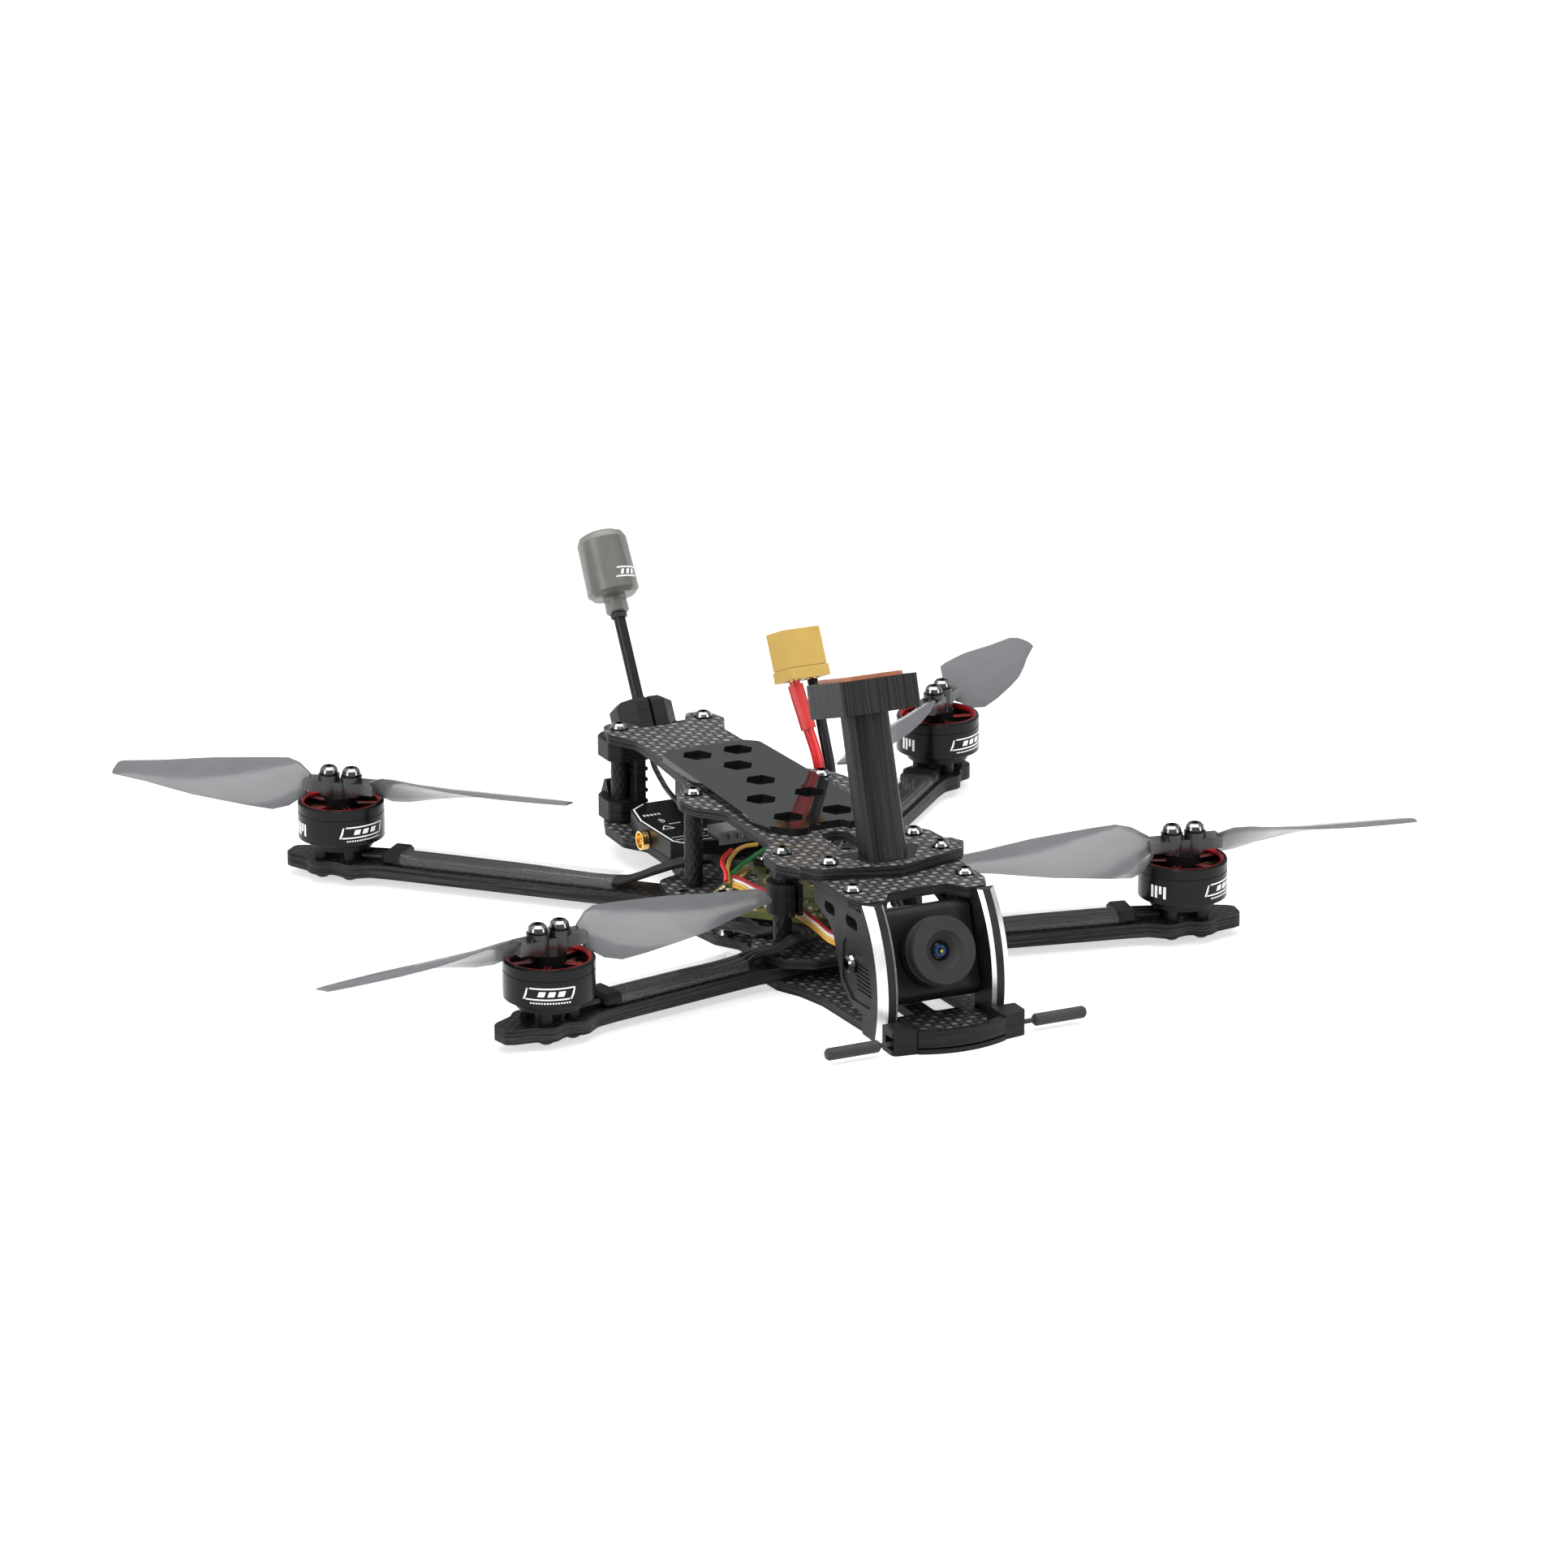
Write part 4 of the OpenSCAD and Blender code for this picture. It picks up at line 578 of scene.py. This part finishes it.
# ---------------------------------------------------------------- battery leads and their connector
PIN_SIDES = (-2.5, 2.5)
plug_frame = placed(PLUG_AT, ("Z", PLUG_SIDE), ("X", -PLUG_LEAN), ("Z", PLUG_TURN))
bm = bmesh.new()
for x in PIN_SIDES:
    pin = plug_frame @ Matrix.Translation(mm((x, 0, 3.9)))
    lathe(bm, [(0.55, 0), (1.15, 0), (1.15, 4.9), (1.0, 5.3), (0.7, 5.3), (0.55, 5.0)], pin, 20)
plug_pins = piece("plug_pins", bm, "gold")
bm = bmesh.new()
for x in PIN_SIDES:
    cup = plug_frame @ Matrix.Translation(mm((x, 0, -0.1)))
    lathe(bm, [(0.7, -0.35), (0.95, -0.35), (1.05, -0.1), (1.05, 1.4), (0.7, 1.4)], cup, 20)
plug_cups = piece("plug_cups", bm, "gold")


def lead(name, route, material, node):
    """Wire in place of the CAD's lead, as a round cord along the route, with the CAD's lead hidden."""
    obj = curve(name, route, LEAD_D, material)
    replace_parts(obj, node)


lead("lead_red", RED_ROUTE, "red_wire", "battery_lead_red")
lead("lead_black", BLACK_ROUTE, "black_wire", "battery_lead_black")

# ---------------------------------------------------------------- stage
world = bpy.data.worlds.new("studio")
scene.world = world
world.use_nodes = True
sky = world.node_tree
there = sky.nodes.new("ShaderNodeTexCoord")
height = sky.nodes.new("ShaderNodeSeparateXYZ")
ramp = sky.nodes.new("ShaderNodeMapRange")
sky.links.new(there.outputs["Generated"], height.inputs[0])
sky.links.new(height.outputs[2], ramp.inputs[0])
for k, value in enumerate((-0.1, 0.9, 0.3, 0.75)):
    ramp.inputs[k + 1].default_value = value
sky.nodes["Background"].inputs[0].default_value = (0.95, 0.97, 1.0, 1)
sky.links.new(ramp.outputs[0], sky.nodes["Background"].inputs[1])
scene.view_settings.view_transform = "Standard"

GLOW = {"Emission_Color": (1, 1, 1, 1), "Emission_Strength": 0.62}
floor_shader = Shader("pale_floor", (0.5, 0.5, 0.5), 0.8, **GLOW)
cloud = floor_shader.noise((0.01, 0.01, 0.01), 2)
floor_shader.paint(floor_shader.mix(cloud, (0.49, 0.49, 0.49), (0.51, 0.51, 0.51)))
bm = bmesh.new()
bmesh.ops.create_grid(bm, x_segments=2, y_segments=2, size=6)
mesh = bpy.data.meshes.new("floor")
bm.to_mesh(mesh)
bm.free()
floor = bpy.data.objects.new("floor", mesh)
scene.collection.objects.link(floor)
mesh.materials.append(floor_shader.mat)


def area_light(name, place, aim, size, power):
    data = bpy.data.lights.new(name, "AREA")
    data.shape = "RECTANGLE"
    data.size, data.size_y = size
    data.energy = power
    obj = bpy.data.objects.new(name, data)
    scene.collection.objects.link(obj)
    obj.location = place
    obj.rotation_euler = (Vector(aim) - Vector(place)).to_track_quat("-Z", "Y").to_euler()


area_light("overhead", (0.0, 0.0, 1.2), (0, 0, 0), (1.5, 1.5), 24)
area_light("left_strip", (-1.1, -0.25, 0.45), (0, 0, 0.02), (0.4, 0.8), 8)
area_light("right_strip", (0.85, -0.95, 0.4), (0, 0, 0.02), (0.3, 0.7), 6)

# ---------------------------------------------------------------- frame details
KNURL_AROUND, KNURL_ROWS = 60, 64
KNURL_LEN, KNURL_CORE, KNURL_RISE, KNURL_FADE = 17.9, 1.78, 0.21, 0.8
KNURL_STARTS, KNURL_PITCH = 9, 2.6
POST_GAP = 0.05


def knurled(bm, px, py):
    """Post with crossed spiral ridges, which fade out towards its ends."""
    rings = []
    for j in range(KNURL_ROWS + 1):
        z = KNURL_LEN * j / KNURL_ROWS
        ends = min(1.0, min(z, KNURL_LEN - z) / KNURL_FADE)
        ring = []
        for k in range(KNURL_AROUND):
            a = k / KNURL_AROUND
            cells = [abs(((KNURL_STARTS * a + s * z / KNURL_PITCH) % 1) - 0.5) * 2 for s in (1, -1)]
            r = KNURL_CORE + KNURL_RISE * max(cells) * ends
            x, y = px + r * math.cos(TAU * a), py + r * math.sin(TAU * a)
            ring.append(bm.verts.new(mm((x, y, Z_BAY + POST_GAP + z))))
        rings.append(ring)
    skin(bm, rings)
    bm.faces.new(rings[0][::-1])
    bm.faces.new(rings[-1])


bm = bmesh.new()
for sx in (1, -1):
    for px, py in POSTS:
        knurled(bm, sx * px, py)
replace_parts(piece("standoffs_knurled", bm, "knurl"), "standoffs")

# ---------------------------------------------------------------- motors
EMBLEM_TURN = {"rr": -77, "fr": -110, "fl": -52, "rl": -62}
EMBLEM_R, EMBLEM_Z = 9.205, Z_BELL + 1.15
EMBLEM_BARS = [
    (-4.6, 4.6, 3.0, 3.28), (-5.5, 3.7, 0.75, 1.03),
    (-2.9, -1.2, 1.5, 2.55), (-0.9, 0.8, 1.5, 2.55), (1.1, 2.8, 1.5, 2.55),
]
HOOK = [(-0.62, 0.78, 0.9), (-0.35, 0.78, 1.6), (0.15, 1.7, 3.1), (0.42, 3.0, 3.2)]
HOOK_AT = (-5.35, 4.45)
TICKS, TICK_FROM, TICK_STEP, TICK_W, TICK_H = 15, -4.4, 0.56, 0.35, 0.3
SIZE_TURN, SIZE_W, SIZE_BARS = -101, 0.6, [(0.3, 2.9), (0.3, 2.9), (1.2, 2.9), (0.3, 2.9)]
RIM = [(8.42, 7.97), (8.44, 8.04), (8.24, 8.04), (7.8, 7.52), (7.8, 7.1), (7.9, 7.1), (7.95, 7.45)]
SPOKES, SPOKE_EDGE = 5, (4.3, 0.16, 0.12)
TAPE_AT, TAPE_SIZE = (13, 0, Z_ARM_TOP + 1.38), (4.6, 7.9, 2.7)


def emblem(axis, turn):
    """Generic marks round a bell: slanted bars between two hooks over a row of ticks, and a second group."""
    bm = bmesh.new()
    for bar in EMBLEM_BARS:
        wrapped(bm, slanted_bar(*bar), EMBLEM_R, turn, EMBLEM_Z, axis)
    for at in HOOK_AT:
        wrapped(bm, [(at + u, low, high) for u, low, high in HOOK], EMBLEM_R, turn, EMBLEM_Z, axis)
    for k in range(TICKS):
        u = TICK_FROM + TICK_STEP * k
        wrapped(bm, [(u, 0, TICK_H), (u + TICK_W, 0, TICK_H)], EMBLEM_R, turn, EMBLEM_Z, axis)
    for k, (low, high) in enumerate(SIZE_BARS):
        u = -1.6 + k
        wrapped(bm, [(u, low, high), (u + SIZE_W, low, high)], EMBLEM_R, turn + SIZE_TURN, EMBLEM_Z, axis)
    return bm


for m, (x, y) in MOTORS.items():
    body = "rotor_" + m
    axis = placed((x, y, 0))
    turned = placed((x, y, 0), ("Z", PROP_ANGLE[m]))
    bm = bmesh.new()
    lathe(bm, RIM, placed((x, y, Z_BELL)), 96)
    for k in range(SPOKES):
        spoke = turned @ Matrix.Rotation(math.radians(360 / SPOKES * k + 18), 4, "Z")
        for side in (-1, 1):
            block(bm, (5.65, side * 0.6, Z_BELL + 7.06), SPOKE_EDGE, spoke, 0.03)
    piece("bell_trim_" + m, bm, "bell_red", body)
    piece("bell_mark_" + m, emblem(axis, EMBLEM_TURN[m]), "mark", body, smooth=False)
    bm = bmesh.new()
    block(bm, TAPE_AT, TAPE_SIZE, arm_frame(m), 0.7)
    piece("lead_tape_" + m, bm, "tape")

# ---------------------------------------------------------------- receiver tray and its antenna patch
mast_frame = placed(MAST_FOOT, ("X", -MAST_LEAN))
PATCH_BASE, PATCH_TOP = MAST_LEN + 7.7, MAST_LEN + 7.78
w, d, cut = 6.35, 7.1, 1.2
outline = [
    (-w + cut, -d), (w - cut, -d), (w, -d + cut), (w, d - cut),
    (w - cut, d), (-w + cut, d), (-w, d - cut), (-w, -d + cut),
]
bm = bmesh.new()
prism(bm, outline, PATCH_BASE, PATCH_TOP, mast_frame)
piece("patch_face", bm, "ceramic", smooth=False)
bm = bmesh.new()
pin = mast_frame @ Matrix.Translation(mm((0.8, -0.6, PATCH_TOP)))
lathe(bm, [(0.0001, 0.12), (0.5, 0.12), (0.75, 0), (0.0001, 0)], pin, 20)
piece("patch_pin", bm, "tin")

# ---------------------------------------------------------------- camera
LENS_AHEAD = 7
DOTS, DOT_ROWS, DOT_R, DOTS_AT = 72, 3, 0.13, 6.52
cam_frame = placed(PIVOT, ("X", 90 - TILT)) @ Matrix.Translation(mm((0, 0, LENS_AHEAD)))
bm = bmesh.new()
for row in range(DOT_ROWS):
    for k in range(DOTS):
        a = TAU * (k + 0.5 * row) / DOTS
        spot = cam_frame @ Matrix.Rotation(a, 4, "Z") @ Matrix.Translation(mm((DOTS_AT, 0, 3.1 + 0.6 * row)))
        bmesh.ops.create_icosphere(bm, subdivisions=1, radius=DOT_R * MM, matrix=spot)
piece("focus_ring_dots", bm, "shrink", "camera")
bm = bmesh.new()
lathe(bm, [(2.05, 3.2), (2.5, 3.9), (2.35, 4.0), (1.9, 3.3)], cam_frame, 48)
lathe(bm, [(1.45, 2.6), (2.0, 2.6), (2.0, 2.9), (1.45, 2.9)], cam_frame, 48)
piece("lens_rims", bm, "lens_ring", "camera")

# ---------------------------------------------------------------- electronics
fc_frame = placed((0, FC_Y, FC_TOP), ("Z", 45))
FC_HALF, CORNER_CUT, SCREW_ZONE, TRIES = 15, 24, 10.4, 210
kinds = {
    "chip": "olive_board", "tin": "shield_tin", "tan": "olive_board",
    "gold": "gold_metal", "white": "olive_board",
}
small = {key: bmesh.new() for key in kinds}
for k in range(TRIES):
    x, y = rng.uniform(-FC_HALF, FC_HALF), rng.uniform(-FC_HALF, FC_HALF)
    if abs(x) + abs(y) > CORNER_CUT or (abs(x) > SCREW_ZONE and abs(y) > SCREW_ZONE):
        continue
    key = rng.choice(["chip", "tin", "tan", "chip", "white", "tin"])
    long, wide, high = rng.choice([0.6, 1.0, 1.4]), rng.choice([0.4, 0.6, 0.9]), rng.choice([0.35, 0.45, 0.6])
    size = (long, wide, high) if rng.random() < 0.5 else (wide, long, high)
    block(small[key], (x, y, high / 2), size, fc_frame, 0.03)
for k in range(4):
    edge = fc_frame @ Matrix.Rotation(math.radians(90 * k), 4, "Z")
    for j in range(-6, 7):
        if abs(j) < 3:
            continue
        block(small["gold"], (j * 1.55, 15.6, 0.06), (0.95, 1.3, 0.16), edge, 0.02)
        block(small["tin"], (j * 1.55, 15.4, 0.22), (0.7, 0.9, 0.3), edge, 0.1)
    for j in range(-3, 4):
        block(small["gold"], (j * 1.0, 13.2, 1.85), (0.3, 2.2, 0.14), edge, 0.02)
for key, bm in small.items():
    piece("board_parts_" + key, bm, key, smooth=False)

LABEL_EDGE = [(-11.2, 10.8), (-12.9, 13.3), (-13.35, 28.7), (-11.7, 36.3), (-8.2, 39.0)]
TRIANGLE = [(-11.6, 21.2), (-9.0, 21.2), (-10.3, 23.6)]
bm = bmesh.new()
ribbon(bm, LABEL_EDGE, 0.42, VTX_TOP)
for y in (11.6, 13.6, 15.4):
    ribbon(bm, [(-12.2, y), (-4.6, y)], 0.18, VTX_TOP)
ribbon(bm, [(-8.9, 24.2), (-6.2, 24.2)], 0.3, VTX_TOP)
for a, b in zip(TRIANGLE, TRIANGLE[1:] + TRIANGLE[:1]):
    ribbon(bm, [a, b], 0.24, VTX_TOP)
for k in range(5):
    block(bm, (-11.4 + 0.85 * k, 31.4, VTX_TOP + INK / 2), (0.5, 1.0, INK), bevel=0)
    block(bm, (-3.4 + 1.3 * k, 17.4, VTX_TOP + INK / 2), (0.9, 0.8, INK), bevel=0)
for r in (0.7, 1.3):
    arc = [(-10.2 + r * math.cos(t / 10), 26.8 + r * math.sin(t / 10)) for t in range(-12, 13)]
    ribbon(bm, arc, 0.22, VTX_TOP)
piece("transmitter_marks", bm, "mark", smooth=False)

# ---------------------------------------------------------------- wires
ARC_D, CAMERA_WIRE_D, COAX_D, PHASE_D = 0.9, 0.75, 1.2, 1.3
WIRE_ARCS = {
    "red": [
        (-9.4, -8.2, 16.2), (-12.3, -10.7, 15.6), (-13.5, -12.6, 15.1),
        (-14.1, -15.5, 14.2), (-15, -17.6, 13),
    ],
    "yellow": [
        (-2.6, -6.7, 16), (-5.6, -5.9, 15.6), (-9, -8.1, 14.9), (-12, -12.1, 13.9), (-14, -16.8, 12.5),
    ],
    "green": [(-1.4, -7.5, 15), (-5.3, -9.4, 14.2), (-9.8, -12.6, 13.7), (-12.2, -14.9, 13.3)],
}
CAMERA_FLAT = [
    (-12.7, -16.4, 12.3), (-12, -20, 12.4), (-11.9, -24, 12.6), (-11.6, -30, 13), (-11, -36, 13.3),
    (-10.3, -43.5, 13.2), (-9.8, -50, 12.6), (-9.3, -56, 11.9), (-7.6, -60.4, 12.2), (-4, -63.2, 13.2),
]
M["yellow_wire"] = wire_finish("yellow_silicone", (0.72, 0.42, 0.08))
M["green_wire"] = wire_finish("green_silicone", (0.01, 0.22, 0.045))
M["white_wire"] = wire_finish("white_silicone", (0.75, 0.74, 0.71))
M["dark_red_wire"] = wire_finish("dark_red_silicone", (0.34, 0.012, 0.018))
first = None
for colour, route in WIRE_ARCS.items():
    wire = curve("arc_wire_" + colour, route, ARC_D, colour + "_wire")
    first = first or wire
for k, key in enumerate(("dark_red_wire", "white_wire", "yellow_wire", "yellow_wire")):
    route = [(x, y, z + 1.08 - 0.72 * k) for x, y, z in CAMERA_FLAT]
    curve("camera_wire_%d" % k, route, CAMERA_WIRE_D, key)
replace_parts(first, "signal_wires")

COAX_ROUTE = [
    (0, 54.07, 19.9), (0, 52.9, 17.95), (0, 51.5, 16.1), (0, 49.6, 14.9), (-0.1, 47.2, 13.9),
    (-0.5, 44, 13.15), (-1.2, 40, 13.05), (-1.6, 37.5, 13.05), (-2, 33, 13.05),
]
coax = curve("antenna_lead", COAX_ROUTE, COAX_D, "braid")
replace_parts(coax, "antenna_coax")

# Phase wires past the sleeves: x, y, height on the right, height on the left, step in x and in y to the next
FRONT_RUN = [
    (-22.5, -46.2, 7.2, 7.2, -0.25, 1.25), (-18.6, -48.8, 8.6, 8.6, 0.85, 0.85),
    (-15.2, -50.8, 10.9, 10.9, 0, 1.25), (-11.8, -49.6, 10.4, 10.4, -0.9, 0.85),
    (-9.6, -44, 9.7, 9.7, -1.25, 0), (-11.4, -39.6, 8.9, 8.9, -0.8, -0.95),
    (-15.4, -37.4, 8.3, 8.3, -0.85, -0.9), (-18.4, -30.5, 7.7, 7.7, -1.2, -0.35),
    (-20.6, -27.8, 7.7, 7.7, -1.2, -0.35), (-20.6, -26.2, 8, 8, -1.2, -0.35),
    (-18.2, -27.3, 8.3, 8.3, -1.2, -0.35),
]
REAR_RUN = [
    (-23.6, 8.2, 7.4, 7.4, 0.85, 0.85), (-19.4, 6, 9.2, 8.2, 0.6, 1.1), (-14.6, 4.3, 10.6, 8.3, 0.2, 1.25),
    (-10.4, 1.6, 11.4, 8.2, 0.7, 1.05), (-8.6, -3, 11.9, 8, 1.25, 0.1), (-8.8, -7.2, 11.5, 7.9, 1.25, 0),
]
first = None
for m, (x, y) in MOTORS.items():
    on_arm = arm_frame(m)
    right = x < 0
    side = 1 if right else -1
    end = SLEEVE_END[m[0]]
    for k in (-1, 0, 1):
        s = k * side
        local = [
            (5.6, 1.7 * s, 6), (9.5, 1.9 * s, 6.15), (13.5, 1.95 * s, 6.25),
            ((13.5 + end) / 2, 1.95 * s, 6.25), (end - 0.5, 1.9 * s, 6.3),
        ]
        points = [tuple((on_arm @ mm(q)) / MM) for q in local]
        for px, py, z_right, z_left, dx, dy in REAR_RUN if m[0] == "r" else FRONT_RUN:
            points.append((side * (px + k * dx), py + k * dy, z_right if right else z_left))
        wire = curve("phase_wire_%s_%d" % (m, k + 1), points, PHASE_D, "black_wire")
        first = first or wire
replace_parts(first, "motor_wires")

# ---------------------------------------------------------------- antenna
CAP_MARK_R, CAP_MARK_TURN, CAP_MARK_Z = 5.71, -68, 26.2
CAP_BARS = [
    (-2.6, 2.9, 2.55, 2.85), (-3.1, 2.4, 0.55, 0.85),
    (-1.9, -0.9, 1.15, 2.25), (-0.5, 0.5, 1.15, 2.25), (0.9, 1.9, 1.15, 2.25),
]
ant_frame = placed(ANT_FOOT, ("X", -ANT_LEAN))
bm = bmesh.new()
lathe(bm, [(1.32, 19.0), (1.75, 19.0), (1.85, 19.4), (1.85, 20.1), (1.32, 20.1)], ant_frame, 32)
piece("antenna_collar", bm, "shrink")
bm = bmesh.new()
for bar in CAP_BARS:
    wrapped(bm, slanted_bar(*bar), CAP_MARK_R, CAP_MARK_TURN, CAP_MARK_Z, ant_frame)
piece("antenna_mark", bm, "mark", smooth=False)
